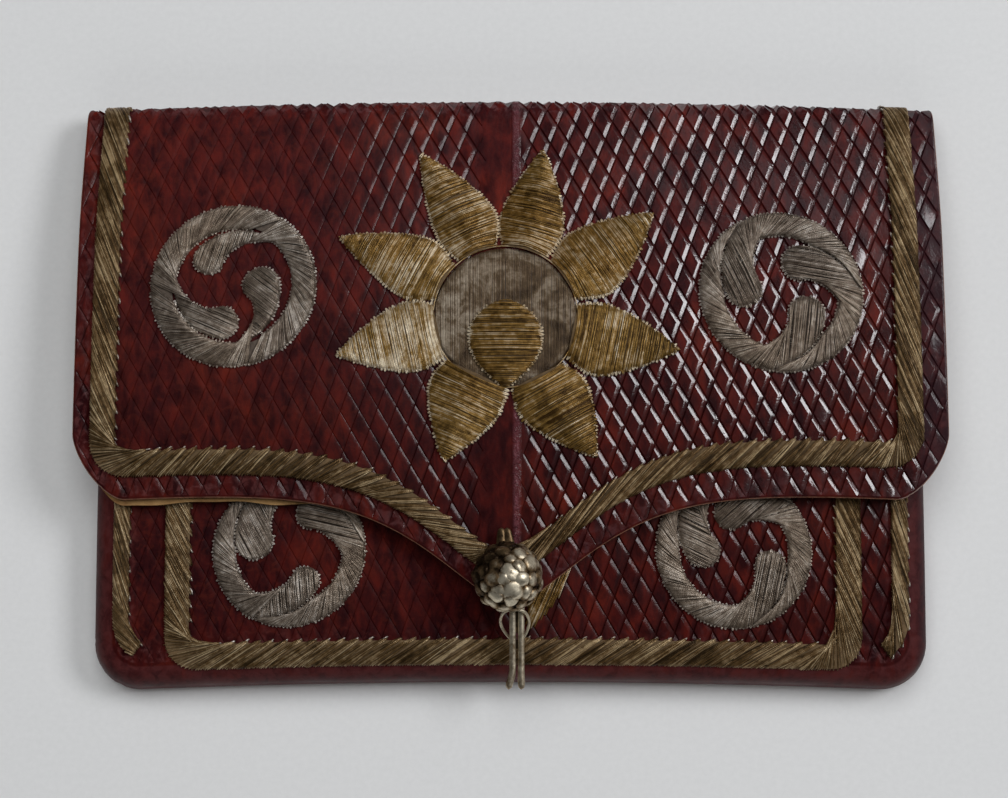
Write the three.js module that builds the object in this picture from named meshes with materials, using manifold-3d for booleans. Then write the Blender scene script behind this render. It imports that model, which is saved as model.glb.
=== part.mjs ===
// An embroidered envelope wallet of embossed leather, lying on its back with the flap closed.
// Millimetres. +X is the wallet's right hand side, +Y is towards the top fold, +Z is out of the flap.

import * as THREE from 'three';
import { mergeVertices } from 'three/addons/utils/BufferGeometryUtils.js';
import Module from 'manifold-3d';

const wasm = await Module();
wasm.setup();

// Driving dimensions
const LEATHER = 1.6;              // thickness of the cover and the front panel
const LINING = 0.8;               // thickness of the lining under the flap
const GAP = 0.3;                  // clearance between neighbouring pieces
const FRAME_SHIFT = 0.425;        // moves the whole wallet so that its box is centred on the origin

const BACK_HALF_WIDTH = 79.3;
const FOLD_HALF_WIDTH = 82.9;
const FLAP_HALF_WIDTH = 83.4;
const BODY_BOTTOM = -56.2;        // lower edge of the front panel
const BACK_BOTTOM = -55.9;
const BODY_CORNER = 9;            // radius of the body's lower corners
const BOW = 1.75;                 // both long edges sag by this much 80 mm from the middle
const BOW_AT = 80;
const SIDE_DROOP = 1.1;           // the flap and the front fall away by this much at their sides

// Section of the cover, from the back panel's lower edge round the fold to the flap's tip
const FOLD_CENTRE_Y = 53.05;
const COVER_SECTION = [
  { part: 'back', length: FOLD_CENTRE_Y - BACK_BOTTOM },
  { part: 'fold', radius: 4.4, turn: 163 },
  { part: 'shoulder', radius: 140, turn: 12 },
  { part: 'belly', radius: 480, turn: 10 },
];
const SHOULDER_START = 1;         // droop and flap width fade in from this point along the flap
const SHOULDER_END = 26;

// Outline of the flap's lower edge
const FLAP_EDGE_Y = -21.1;        // straight stretches beside the swoop
const SWOOP_DROP = 21.6;          // how far the tip hangs below them
const SWOOP_WIDTH = 20.7;
const SWOOP_POWER = 1.5;
const FLAP_CORNER = { width: 10, height: 13, power: 1.5 };

// Lining under the flap: it peeps out along the lower left edge
const LINING_INSET = 1.2;
const LINING_PEEP = { amount: 0.8, from: -74, to: -36, fade: 9 };
const LINING_TOP_Y = 47;

// Front panel: a shallow tray, open at the top
const FRONT_HALF_WIDTH = 79.5;
const FRONT_CREST = { y: -15, z: 11.4, radius: 500 };
const MOUTH_Y = 42;
const ROLL = 4.4;                 // radius of the rolled edges
const FRONT_INSETS = [14, 24, 38, 58, FRONT_HALF_WIDTH]; // loops from the roll in to the middle

// Thread work: padded plates on the leather
const PADDING = 0.9;
const FLAP_BORDER = {
  left: { side: 3.4, lower: 4.3 },
  right: { side: 5.0, lower: 6.0 },
  width: 4.9,
  corner: 7,
  blend: 6,
  foldEnd: -6.5,
};
const FRONT_BORDER = { left: -65.7, right: 66.6, bottom: -53.4, width: 4.8, corner: 6, top: -8 };
const EDGE_BORDER = { x: 75.6, width: 3.1, corner: 9, inset: 3.9, top: -8, end: 72 };

// A leaf of thread on the front panel: only its lower end shows below the flap's tip
const FRONT_LEAF = { x: 3.6, y: -46.4, angle: 66, length: 17, width: 2.9, foot: 0.4, full: 0.6 };
const LEAF_STATIONS = [0, 0.15, 0.3, 0.45, FRONT_LEAF.full, 1];

const FLOWER = { x: -1, y: 12.5, disc: 13.9, discHeight: 0.7 };
// The drop's half widths, each at its height above the tip
const DROP = {
  tipY: -1.3,
  halves: [
    [0, 0], [0.6, 1.2], [1.7, 2.55], [3.4, 4.25], [5.5, 5.9], [7.5, 6.8],
    [9.3, 7.05], [11.5, 6.8], [13.5, 5.75], [15.2, 4.1], [16.3, 2.3], [16.8, 0],
  ],
};
// Petals: half widths on both sides of the axis, at the base and at the belly
const PETALS = [
  { angle: 116.6, tip: 36.6, ahead: [3.0, 4.7], behind: [4.6, 7.5] },
  { angle: 77.6, tip: 34.3, ahead: [3.6, 5.2], behind: [5.1, 7.2] },
  { angle: 36.0, tip: 35.3, ahead: [3.8, 6.0], behind: [5.1, 8.0] },
  { angle: -10.5, tip: 33.7, ahead: [4.9, 5.9], behind: [5.6, 8.1] },
  { angle: -57.5, tip: 32.0, ahead: [4.2, 6.1], behind: [6.5, 8.0] },
  { angle: -112.8, tip: 30.2, ahead: [5.9, 6.3], behind: [7.2, 8.4] },
  { angle: -167.4, tip: 33.1, ahead: [5.2, 6.6], behind: [5.4, 7.0] },
  { angle: 153.3, tip: 35.7, ahead: [3.2, 5.3], behind: [4.6, 7.2] },
];
const PETAL_BELLY = 0.27;         // where along its length a petal is widest
const PETAL_TAPER = 1.5;
const PETAL_STATIONS = [0, 0.13, PETAL_BELLY, 0.42, 0.58, 0.74, 0.88];
const PETAL_FOOT_STEPS = 6;

// Roundels: each head is given by its angle, its place and its half width, both as shares of the radius
const SLIM_ARM = { sweep: 80, root: 0.72, rootWidth: 0.02 };
const FULL_ARM = { sweep: 60, root: 0.86, rootWidth: 0.15 };
const ARM_CURL = 0.85;
const ROUNDEL_BAND = 0.285;
const ROUNDELS = [
  {
    name: 'flap_roundel_left', on: 'flap', x: -53.1, y: 19.4, radius: 15.8, arm: SLIM_ARM,
    heads: [[131, 0.457, 0.19], [-1.6, 0.339, 0.225], [253.4, 0.476, 0.2]],
  },
  {
    name: 'flap_roundel_right', on: 'flap', x: 51.8, y: 18.1, radius: 15.6, arm: FULL_ARM,
    heads: [[177, 0.463, 0.22], [58.4, 0.435, 0.215], [318.7, 0.408, 0.225]],
  },
  {
    name: 'front_roundel_left', on: 'front', x: -42.1, y: -31.4, radius: 14.4, arm: FULL_ARM,
    heads: [[162.3, 0.482, 0.25], [297.8, 0.459, 0.187], [58.9, 0.56, 0.2]],
  },
  {
    name: 'front_roundel_right', on: 'front', x: 42.4, y: -31.4, radius: 14.7, arm: FULL_ARM,
    heads: [[180.7, 0.4, 0.22], [94.2, 0.479, 0.207], [337.7, 0.509, 0.2]],
  },
];

// Clasp
const BUTTON = { x: -0.6, y: -37.5, radius: 6.6, base: 17.8, baseRadius: 4.6, belt: 20.2, crown: 25.8 };
const LUG = { radius: 0.6, length: 4.0, z: 18.3, xs: [-1.95, -0.15], y: -31.2 };
const PIN = {
  xs: [0.35, 1.95],
  width: 1.25,
  thick: 1.0,
  topY: -38.2,
  topZ: 17.0,
  endY: -58.2,
  endZ: 13.3,
  bridges: [[0, 9.4], [10.7, 12.4]], // plates between the legs, with a hole between them
};
const LOOP_WIRE = 0.3;
const LOOP_ROUTE = [
  { x: 1.1, y: -49.2, z: 12.9 },
  { x: 2.3, y: -48.5, z: 13.0 },
  { x: 3.2, y: -46.9, z: 14.1 },
  { x: 3.45, y: -45.4, z: 15.4 },
  { x: 2.6, y: -43.9, z: 17.1 },
  { x: 0.7, y: -43.4, z: 17.7 },
  { x: -1.2, y: -43.9, z: 17.1 },
  { x: -1.95, y: -45.4, z: 15.4 },
  { x: -1.5, y: -46.9, z: 14.1 },
  { x: -0.2, y: -48.5, z: 13.0 },
];

// How finely the pieces are divided
const COLUMN_SHARES = [0.035, 0.08, 0.14, 0.2, 0.27, 0.34, 0.42, 0.5, 0.62, 0.76];
const CORNER_SHARES = [0.93, 0.96, 0.985, 1];
const STEPS = { back: 4, fold: 10, shoulder: 5, belly: 6, lining: 10 };
const FRONT_STEPS = { roll: 6, side: 10, base: 12, corner: 6 };
const BORDER_STEPS = { limb: 11, lower: 15, side: 5, edge: 6, bend: 4 };
const BEND_DEGREES = [22.5, 45, 67.5];
const AROUND = { disc: 40, ring: 44, button: 32, lug: 10, wire: 8 };
const SPINE_STEPS = 9;
const DOME_STEPS = 7;
const WIRE_STEPS = 36;
const MERGE = 1e-4;               // points nearer than this are one point
const CUT_PAST = 1;               // a cutting tool stands out this far
const LONGEST_FLAP = 130;
const HALVINGS = 40;

const rad = THREE.MathUtils.degToRad;
const smooth = THREE.MathUtils.smoothstep;
const mix = THREE.MathUtils.lerp;

// Section of the cover: a point at distance s from the fold's end, positive towards the flap's tip
const SECTION_LENGTHS = COVER_SECTION.map((row) => row.length ?? row.radius * rad(row.turn));
const TO_FOLD_END = SECTION_LENGTHS[0] + SECTION_LENGTHS[1];

function coverSection(s, height) {
  let along = s + TO_FOLD_END;
  let heading = 0;
  let y = BACK_BOTTOM;
  let z = 0;
  for (const [index, row] of COVER_SECTION.entries()) {
    const last = index === COVER_SECTION.length - 1;
    const run = last ? along : Math.min(along, SECTION_LENGTHS[index]);
    if (row.radius) {
      const turn = run / row.radius;
      y += row.radius * (Math.sin(heading + turn) - Math.sin(heading));
      z += row.radius * (Math.cos(heading) - Math.cos(heading + turn));
      heading += turn;
    } else {
      y += run;
    }
    along -= run;
    if (along <= 0) break;
  }
  return { y: y + Math.sin(heading) * height, z: z - Math.cos(heading) * height };
}

// The same distance for a place on the flap given by its y
function alongFlap(y) {
  let low = 0;
  let high = LONGEST_FLAP;
  for (let step = 0; step < HALVINGS; step += 1) {
    const middle = (low + high) / 2;
    if (coverSection(middle, 0).y > y) low = middle;
    else high = middle;
  }
  return low;
}

const bow = (x) => BOW * (x / BOW_AT) ** 2;
const droop = (x) => SIDE_DROOP * (x / BOW_AT) ** 4;

// Places on the three leather surfaces: x across, then s or y, then height above the leather
function onCover(x, s, height) {
  const place = coverSection(s, height);
  const fall = droop(x) * smooth(s, SHOULDER_START, SHOULDER_END);
  return new THREE.Vector3(x, place.y - bow(x), place.z - fall);
}

const onFlap = (x, y, height) => onCover(x, alongFlap(y), height);

function frontHeight(x, y) {
  return FRONT_CREST.z - (y - FRONT_CREST.y) ** 2 / (2 * FRONT_CREST.radius) - droop(x);
}

const onFront = (x, y, height) => new THREE.Vector3(x, y - bow(x), frontHeight(x, y) + height);

const SURFACES = { flap: onFlap, front: onFront };

// Mesh helpers
function meshFromTriangles(points, triangles) {
  const geometry = new THREE.BufferGeometry();
  const flat = triangles.flat().flatMap((index) => points[index].toArray());
  geometry.setAttribute('position', new THREE.Float32BufferAttribute(flat, 3));
  const merged = mergeVertices(geometry, MERGE);
  const index = merged.getIndex().array;
  const kept = [];
  for (let i = 0; i < index.length; i += 3) {
    const [a, b, c] = index.slice(i, i + 3);
    if (a !== b && b !== c && c !== a) kept.push(a, b, c);
  }
  merged.setIndex(kept);
  return merged;
}

// A closed sheet between two grids of points of the same size
function sheetBetween(top, bottom) {
  const rows = top.length;
  const columns = top[0].length;
  const points = [...top.flat(), ...bottom.flat()];
  const under = rows * columns;
  const at = (row, column) => row * columns + column;
  const triangles = [];
  const quad = (a, b, c, d) => triangles.push([a, b, c], [a, c, d]);
  for (let row = 0; row < rows - 1; row += 1) {
    for (let column = 0; column < columns - 1; column += 1) {
      const corners = [at(row, column), at(row, column + 1), at(row + 1, column + 1), at(row + 1, column)];
      quad(...corners);
      quad(...corners.map((corner) => corner + under).reverse());
    }
  }
  const rim = [];
  for (let column = 0; column < columns - 1; column += 1) rim.push(at(0, column));
  for (let row = 0; row < rows - 1; row += 1) rim.push(at(row, columns - 1));
  for (let column = columns - 1; column > 0; column -= 1) rim.push(at(rows - 1, column));
  for (let row = rows - 1; row > 0; row -= 1) rim.push(at(row, 0));
  rim.forEach((corner, index) => {
    const next = rim[(index + 1) % rim.length];
    quad(next, corner, corner + under, next + under);
  });
  return meshFromTriangles(points, triangles);
}

// A flat outline given a thickness, then laid on a surface
function extrudeFlat(outline, from, to) {
  const shape = new THREE.Shape(outline.map(([x, y]) => new THREE.Vector2(x, y)));
  const geometry = new THREE.ExtrudeGeometry(shape, { depth: to - from, bevelEnabled: false, steps: 1 });
  geometry.translate(0, 0, from);
  geometry.deleteAttribute('normal');
  geometry.deleteAttribute('uv');
  return mergeVertices(geometry, MERGE);
}

function layOn(geometry, surface) {
  const position = geometry.getAttribute('position');
  for (let i = 0; i < position.count; i += 1) {
    const place = surface(position.getX(i), position.getY(i), position.getZ(i));
    position.setXYZ(i, place.x, place.y, place.z);
  }
  return geometry;
}

function toSolid(geometry) {
  const vertProperties = new Float32Array(geometry.getAttribute('position').array);
  const triVerts = new Uint32Array(geometry.getIndex().array);
  return new wasm.Manifold(new wasm.Mesh({ numProp: 3, vertProperties, triVerts }));
}

function fromSolid(solid) {
  const mesh = solid.getMesh();
  const geometry = new THREE.BufferGeometry();
  geometry.setAttribute('position', new THREE.Float32BufferAttribute(mesh.vertProperties, 3));
  geometry.setIndex(Array.from(mesh.triVerts));
  return geometry;
}

function joined(geometries) {
  const bodies = geometries.map(toSolid);
  return fromSolid(bodies.reduce((whole, body) => whole.add(body)));
}

const range = (count, from, to) => Array.from({ length: count }, (_, i) => mix(from, to, i / (count - 1)));
const around = (count) => range(count + 1, 0, 2 * Math.PI).slice(1);

// Outline of the flap: the lower edge's y at x
const CORNER_START = FLAP_HALF_WIDTH - FLAP_CORNER.width;

function flapEdge(x) {
  const reach = Math.abs(x);
  const swoop = SWOOP_DROP * Math.exp(-((reach / SWOOP_WIDTH) ** SWOOP_POWER));
  const into = THREE.MathUtils.clamp((reach - CORNER_START) / FLAP_CORNER.width, 0, 1);
  const cut = 1 - (1 - into ** FLAP_CORNER.power) ** (1 / FLAP_CORNER.power);
  return FLAP_EDGE_Y - swoop + FLAP_CORNER.height * cut;
}

// Outline of the back panel: the lower edge's distance from the straight line at x
function backCorner(x) {
  const into = Math.max(0, Math.abs(x) - (BACK_HALF_WIDTH - BODY_CORNER));
  return BODY_CORNER - Math.sqrt(Math.max(0, BODY_CORNER ** 2 - into ** 2));
}

// Cover: back panel, fold and flap in one piece of leather
function coverHalfWidth(s) {
  const aboveBack = smooth(s, -TO_FOLD_END, -SECTION_LENGTHS[1]);
  const back = mix(BACK_HALF_WIDTH, FOLD_HALF_WIDTH, aboveBack);
  return mix(back, FLAP_HALF_WIDTH, smooth(s, SHOULDER_START, SHOULDER_END));
}

function columnShares() {
  const right = [...COLUMN_SHARES, CORNER_START / FLAP_HALF_WIDTH, ...CORNER_SHARES];
  return [...right.toReversed().map((share) => -share), 0, ...right];
}

function coverGrid(height) {
  const foldStart = -SECTION_LENGTHS[1];
  const shoulderEnd = SECTION_LENGTHS[2];
  return columnShares().map((share) => {
    const edge = alongFlap(flapEdge(share * FLAP_HALF_WIDTH));
    const start = -TO_FOLD_END + backCorner(share * BACK_HALF_WIDTH);
    const stations = [
      ...range(STEPS.back, start, foldStart),
      ...range(STEPS.fold, foldStart, 0).slice(1),
      ...range(STEPS.shoulder, 0, shoulderEnd).slice(1),
      ...range(STEPS.belly, shoulderEnd, edge).slice(1),
    ];
    return stations.map((s) => onCover(share * coverHalfWidth(s), s, height));
  });
}

const cover = () => sheetBetween(coverGrid(0), coverGrid(-LEATHER));

// Lining: a thin facing under the flap
function liningEdge(x) {
  const { amount, from, to, fade } = LINING_PEEP;
  const peep = smooth(x, from - fade, from) * (1 - smooth(x, to, to + fade));
  return flapEdge(x) + LINING_INSET - (amount + LINING_INSET) * peep;
}

function liningGrid(height) {
  const halfWidth = FLAP_HALF_WIDTH - LINING_INSET;
  const top = alongFlap(LINING_TOP_Y);
  return columnShares().map((share) => {
    const x = share * halfWidth;
    const stations = range(STEPS.lining, top, alongFlap(liningEdge(x)));
    return stations.map((s) => onCover(share * (coverHalfWidth(s) - LINING_INSET), s, height));
  });
}

function flapLining() {
  const under = -LEATHER - GAP;
  return sheetBetween(liningGrid(under), liningGrid(under - LINING));
}

// Front panel: loops round the sides and the bottom, from the rim inwards to the middle
function frontLoop(inset) {
  const corner = Math.max(BODY_CORNER - inset, 0);
  const reach = FRONT_HALF_WIDTH - inset;
  const bottom = BODY_BOTTOM + inset;
  const centreX = reach - corner;
  const centreY = bottom + corner;
  const left = range(FRONT_STEPS.side, MOUTH_Y, centreY).map((y) => [-reach, y]);
  const arc = range(FRONT_STEPS.corner, 0, Math.PI / 2);
  const cornerLeft = arc.map((a) => [-centreX - corner * Math.cos(a), centreY - corner * Math.sin(a)]);
  const base = range(FRONT_STEPS.base, -centreX, centreX).map((x) => [x, bottom]);
  const cornerRight = cornerLeft.map(([x, y]) => [-x, y]).toReversed();
  const right = left.map(([x, y]) => [-x, y]).toReversed();
  return [...left, ...cornerLeft.slice(1), ...base.slice(1), ...cornerRight.slice(1), ...right.slice(1)];
}

function frontGrid(thickness) {
  const rim = LEATHER + GAP;
  const radius = ROLL - thickness;
  const roll = range(FRONT_STEPS.roll, 0, Math.PI / 2);
  const crest = frontLoop(ROLL);
  const rolled = roll.map((angle) => {
    const loop = frontLoop(ROLL - radius * Math.cos(angle));
    return loop.map(([x, y], i) => {
      const z = frontHeight(...crest[i]) - ROLL + radius * Math.sin(angle);
      return onFront(x, y, 0).setZ(z);
    });
  });
  const foot = rolled[0].map((point) => point.clone().setZ(rim));
  const field = FRONT_INSETS.map((inset) => frontLoop(inset));
  const laid = field.map((loop) => loop.map(([x, y]) => onFront(x, y, -thickness)));
  return [foot, ...rolled, ...laid];
}

const frontPanel = () => sheetBetween(frontGrid(0), frontGrid(LEATHER));

// A strip between two rails, given as rows of an outer and an inner place on a surface
function stripOn(surface, rows) {
  const from = GAP;
  const to = GAP + PADDING;
  const pair = ([outer, inner], height) => [surface(...inner, height), surface(...outer, height)];
  const grid = (height) => rows.map((row) => pair(row, height));
  return sheetBetween(grid(to), grid(from));
}

// Flap border: down the left side, along the lower edge and up the right side
function flapBorderRows(side, inset) {
  const outerX = FLAP_HALF_WIDTH - inset.side;
  const innerX = outerX - FLAP_BORDER.width;
  const { corner } = FLAP_BORDER;
  const lowerY = FLAP_EDGE_Y + inset.lower;
  const limbStations = [
    ...range(STEPS.fold, FLAP_BORDER.foldEnd, 0),
    ...range(BORDER_STEPS.limb, 0, alongFlap(lowerY + corner)).slice(1),
  ];
  const limb = limbStations.map((s) => {
    const narrow = coverHalfWidth(s) - FLAP_HALF_WIDTH;
    return [[side * (outerX + narrow), s], [side * (innerX + narrow), s]];
  });
  const bend = BEND_DEGREES.map((degrees) => {
    const a = rad(degrees);
    const x = outerX - corner + corner * Math.cos(a);
    const y = lowerY + corner - corner * Math.sin(a);
    const share = corner - FLAP_BORDER.width;
    const innerPlaceX = outerX - corner + share * Math.cos(a);
    const innerPlaceY = lowerY + corner - share * Math.sin(a);
    return [[side * x, alongFlap(y)], [side * innerPlaceX, alongFlap(innerPlaceY)]];
  });
  const middle = (FLAP_BORDER.left.lower + FLAP_BORDER.right.lower) / 2;
  const lower = range(BORDER_STEPS.lower, outerX - corner, 0).map((x) => {
    const lift = mix(middle, inset.lower, smooth(x, 0, FLAP_BORDER.blend));
    const y = flapEdge(Math.min(x, CORNER_START)) + lift;
    return [[side * x, alongFlap(y)], [side * x, alongFlap(y + FLAP_BORDER.width)]];
  });
  return [...limb, ...bend, ...lower];
}

function flapBorder() {
  const left = flapBorderRows(-1, FLAP_BORDER.left);
  const right = flapBorderRows(1, FLAP_BORDER.right);
  return stripOn(onCover, [...left, ...right.toReversed().slice(1)]);
}

// Front borders
function frontBorder() {
  const { left, right, bottom, width, corner, top } = FRONT_BORDER;
  const bendAt = (cx, side) => range(BORDER_STEPS.bend, 0, Math.PI / 2).map((a) => {
    const outer = [cx + side * corner * Math.cos(a), bottom + corner - corner * Math.sin(a)];
    const inner = [
      cx + side * (corner - width) * Math.cos(a),
      bottom + corner - (corner - width) * Math.sin(a),
    ];
    return [outer, inner];
  });
  const downs = range(BORDER_STEPS.side, top, bottom + corner);
  const across = range(BORDER_STEPS.lower, left + corner, right - corner);
  const rows = [
    ...downs.map((y) => [[left, y], [left + width, y]]),
    ...bendAt(left + corner, -1).slice(1),
    ...across.slice(1).map((x) => [[x, bottom], [x, bottom + width]]),
    ...bendAt(right - corner, 1).toReversed().slice(1),
    ...downs.toReversed().slice(1).map((y) => [[right, y], [right - width, y]]),
  ];
  return stripOn(onFront, rows);
}

// Narrow border beside the rolled edge, curving in round the lower corner
function edgeBorder(side) {
  const { x, width, corner, inset, top, end } = EDGE_BORDER;
  const bottom = BODY_BOTTOM + inset;
  const downs = range(BORDER_STEPS.edge, top, bottom + corner);
  const straight = downs.map((y) => [[side * x, y], [side * (x - width), y]]);
  const stop = Math.acos((end - x + corner) / corner);
  const bend = range(BORDER_STEPS.bend, 0, stop).slice(1).map((a) => {
    const reach = (radius) => [
      side * (x - corner + radius * Math.cos(a)),
      bottom + corner - radius * Math.sin(a),
    ];
    return [reach(corner), reach(corner - width)];
  });
  const rows = [...straight, ...bend];
  return stripOn(onRolledFront, side < 0 ? rows : rows.map(([outer, inner]) => [inner, outer]));
}

// Front panel with its rolled edge, for the border that runs along it
function onRolledFront(x, y, height) {
  const place = onFront(x, y, height);
  const insetX = FRONT_HALF_WIDTH - Math.abs(x);
  const insetY = y - BODY_BOTTOM;
  const into = Math.max(0, ROLL - Math.min(insetX, insetY));
  place.z -= ROLL - Math.sqrt(ROLL ** 2 - into ** 2);
  return place;
}

// Flower
function petal({ angle, tip, ahead, behind }) {
  const base = FLOWER.disc + GAP;
  const width = ([foot, belly], u) => {
    if (u < PETAL_BELLY) return mix(foot, belly, Math.sin((u / PETAL_BELLY) * (Math.PI / 2)));
    return belly * (1 - ((u - PETAL_BELLY) / (1 - PETAL_BELLY)) ** PETAL_TAPER);
  };
  const start = ([foot]) => Math.sqrt(base ** 2 - foot ** 2);
  const edge = (halves) => PETAL_STATIONS.map((u) => [mix(start(halves), tip, u), width(halves, u)]);
  const opening = ([foot]) => Math.asin(foot / base);
  const foot = range(PETAL_FOOT_STEPS, opening(ahead), -opening(behind)).slice(1, -1);
  const outline = [
    ...edge(behind).map(([r, aside]) => [r, -aside]),
    [tip, 0],
    ...edge(ahead).toReversed(),
    ...foot.map((a) => [base * Math.cos(a), base * Math.sin(a)]),
  ];
  const turned = outline.map(([r, aside]) => {
    const a = rad(angle);
    const place = [r * Math.cos(a) - aside * Math.sin(a), r * Math.sin(a) + aside * Math.cos(a)];
    return [FLOWER.x + place[0], FLOWER.y + place[1]];
  });
  return layOn(extrudeFlat(turned, GAP, GAP + PADDING), onFlap);
}

function flowerDisc() {
  const ring = around(AROUND.disc);
  const outline = ring.map((a) => [
    FLOWER.x + FLOWER.disc * Math.cos(a),
    FLOWER.y + FLOWER.disc * Math.sin(a),
  ]);
  return layOn(extrudeFlat(outline, GAP, GAP + FLOWER.discHeight), onFlap);
}

function flowerDrop() {
  const edge = (side) => DROP.halves.map(([above, half]) => [FLOWER.x + side * half, DROP.tipY + above]);
  const outline = [...edge(1), ...edge(-1).slice(1, -1).toReversed()];
  const from = GAP + FLOWER.discHeight + GAP;
  return layOn(extrudeFlat(outline, from, from + PADDING), onFlap);
}

// Leaf on the front panel, from its tip up to its square upper end under the flap
function frontLeaf() {
  const { x, y, angle, length, width, foot, full } = FRONT_LEAF;
  const half = (u) => mix(foot, width, Math.sin(Math.min(u / full, 1) * (Math.PI / 2)));
  const outline = [
    ...LEAF_STATIONS.map((u) => [u * length, -half(u)]),
    ...LEAF_STATIONS.toReversed().map((u) => [u * length, half(u)]),
  ];
  const turned = outline.map(([along, aside]) => {
    const a = rad(angle);
    return [x + along * Math.cos(a) - aside * Math.sin(a), y + along * Math.sin(a) + aside * Math.cos(a)];
  });
  return layOn(extrudeFlat(turned, GAP, GAP + PADDING), onFront);
}

// Roundels: a ring with three comma arms that leave it and curl inwards
function roundel({ on, x, y, radius, arm, heads }) {
  const turns = around(AROUND.ring);
  const circle = (r) => turns.map((a) => [x + r * Math.cos(a), y + r * Math.sin(a)]);
  const from = GAP;
  const to = GAP + PADDING;
  const disc = toSolid(extrudeFlat(circle(radius), from, to));
  const hole = toSolid(extrudeFlat(circle(radius * (1 - ROUNDEL_BAND)), from - CUT_PAST, to + CUT_PAST));
  const arms = heads.map(([angle, reach, width]) => {
    const spine = range(SPINE_STEPS, 0, 1).map((t) => {
      const a = rad(angle - arm.sweep * (1 - t));
      const r = radius * mix(arm.root, reach, t ** ARM_CURL);
      const half = radius * mix(arm.rootWidth, width, t);
      return { x: x + r * Math.cos(a), y: y + r * Math.sin(a), half };
    });
    return toSolid(extrudeFlat(commaOutline(spine), from, to));
  });
  const whole = arms.reduce((sum, body) => sum.add(body), disc.subtract(hole));
  return layOn(fromSolid(whole), SURFACES[on]);
}

// Outline of a tapering comma with a round head at the spine's end
function commaOutline(spine) {
  const edges = spine.map((place, i) => {
    const before = spine[Math.max(i - 1, 0)];
    const after = spine[Math.min(i + 1, spine.length - 1)];
    const heading = Math.atan2(after.y - before.y, after.x - before.x);
    return { ...place, heading };
  });
  const offset = ({ x, y, half, heading }, turn) => [
    x + half * Math.cos(heading + turn),
    y + half * Math.sin(heading + turn),
  ];
  const head = edges.at(-1);
  const quarter = Math.PI / 2;
  return [
    ...edges.map((place) => offset(place, -quarter)),
    ...range(SPINE_STEPS, -quarter, quarter).slice(1, -1).map((turn) => offset(head, turn)),
    ...edges.toReversed().map((place) => offset(place, quarter)),
  ];
}

// Clasp
function claspButton() {
  const { radius, base, baseRadius, belt, crown } = BUTTON;
  const dome = range(DOME_STEPS, 0, Math.PI / 2).map((a) => {
    const r = a === Math.PI / 2 ? 0 : radius * Math.cos(a);
    return new THREE.Vector2(r, belt + (crown - belt) * Math.sin(a));
  });
  const profile = [new THREE.Vector2(0, base), new THREE.Vector2(baseRadius, base), ...dome];
  const lathe = new THREE.LatheGeometry(profile, AROUND.button);
  lathe.rotateX(Math.PI / 2);
  lathe.translate(BUTTON.x, BUTTON.y, 0);
  lathe.deleteAttribute('normal');
  lathe.deleteAttribute('uv');
  const lugs = LUG.xs.map((x) => {
    const lug = new THREE.CapsuleGeometry(LUG.radius, LUG.length, 4, AROUND.lug);
    lug.translate(x, LUG.y, LUG.z);
    lug.deleteAttribute('normal');
    lug.deleteAttribute('uv');
    return mergeVertices(lug, MERGE);
  });
  const ball = meshFromTriangles(...trianglesOf(lathe));
  return joined([ball, ...lugs]);
}

function trianglesOf(geometry) {
  const position = geometry.getAttribute('position');
  const pointAt = (_, i) => new THREE.Vector3().fromBufferAttribute(position, i);
  const points = Array.from({ length: position.count }, pointAt);
  const index = geometry.getIndex().array;
  const triangles = [];
  for (let i = 0; i < index.length; i += 3) triangles.push([index[i], index[i + 1], index[i + 2]]);
  return [points, triangles];
}

function claspPin() {
  const length = Math.hypot(PIN.topY - PIN.endY, PIN.topZ - PIN.endZ);
  const slope = Math.atan2(PIN.topZ - PIN.endZ, PIN.topY - PIN.endY);
  const bar = (x, width, from, to) => {
    const box = new THREE.BoxGeometry(width, to - from, PIN.thick);
    box.translate(x, -(from + to) / 2, 0);
    box.rotateX(slope);
    box.translate(0, PIN.topY, PIN.topZ);
    box.deleteAttribute('normal');
    box.deleteAttribute('uv');
    return mergeVertices(box, MERGE);
  };
  const middle = (PIN.xs[0] + PIN.xs[1]) / 2;
  const legs = PIN.xs.map((x) => bar(x, PIN.width, 0, length));
  const plates = PIN.bridges.map(([from, to]) => bar(middle, PIN.xs[1] - PIN.xs[0], from, to));
  return joined([...legs, ...plates]);
}

function claspLoop() {
  const route = LOOP_ROUTE.map(({ x, y, z }) => new THREE.Vector3(x, y, z));
  const path = new THREE.CatmullRomCurve3(route, true);
  const wire = new THREE.TubeGeometry(path, WIRE_STEPS, LOOP_WIRE, AROUND.wire, true);
  return meshFromTriangles(...trianglesOf(wire));
}

// Finishes
function finish(color, roughness, metalness) {
  return () => new THREE.MeshStandardMaterial({ color, roughness, metalness });
}

const leather = finish(0x3f1614, 0.42, 0);
const tanLeather = finish(0x7a4f30, 0.8, 0);
const goldThread = finish(0x8c6f42, 0.45, 0.8);
const silverThread = finish(0x877a68, 0.45, 0.8);
const claspMetal = finish(0x8a7c62, 0.38, 1);

const wallet = new THREE.Group();
wallet.position.y = FRAME_SHIFT;

function addPiece(name, geometry, material) {
  const mesh = new THREE.Mesh(geometry, material());
  mesh.name = name;
  wallet.add(mesh);
}

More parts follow.
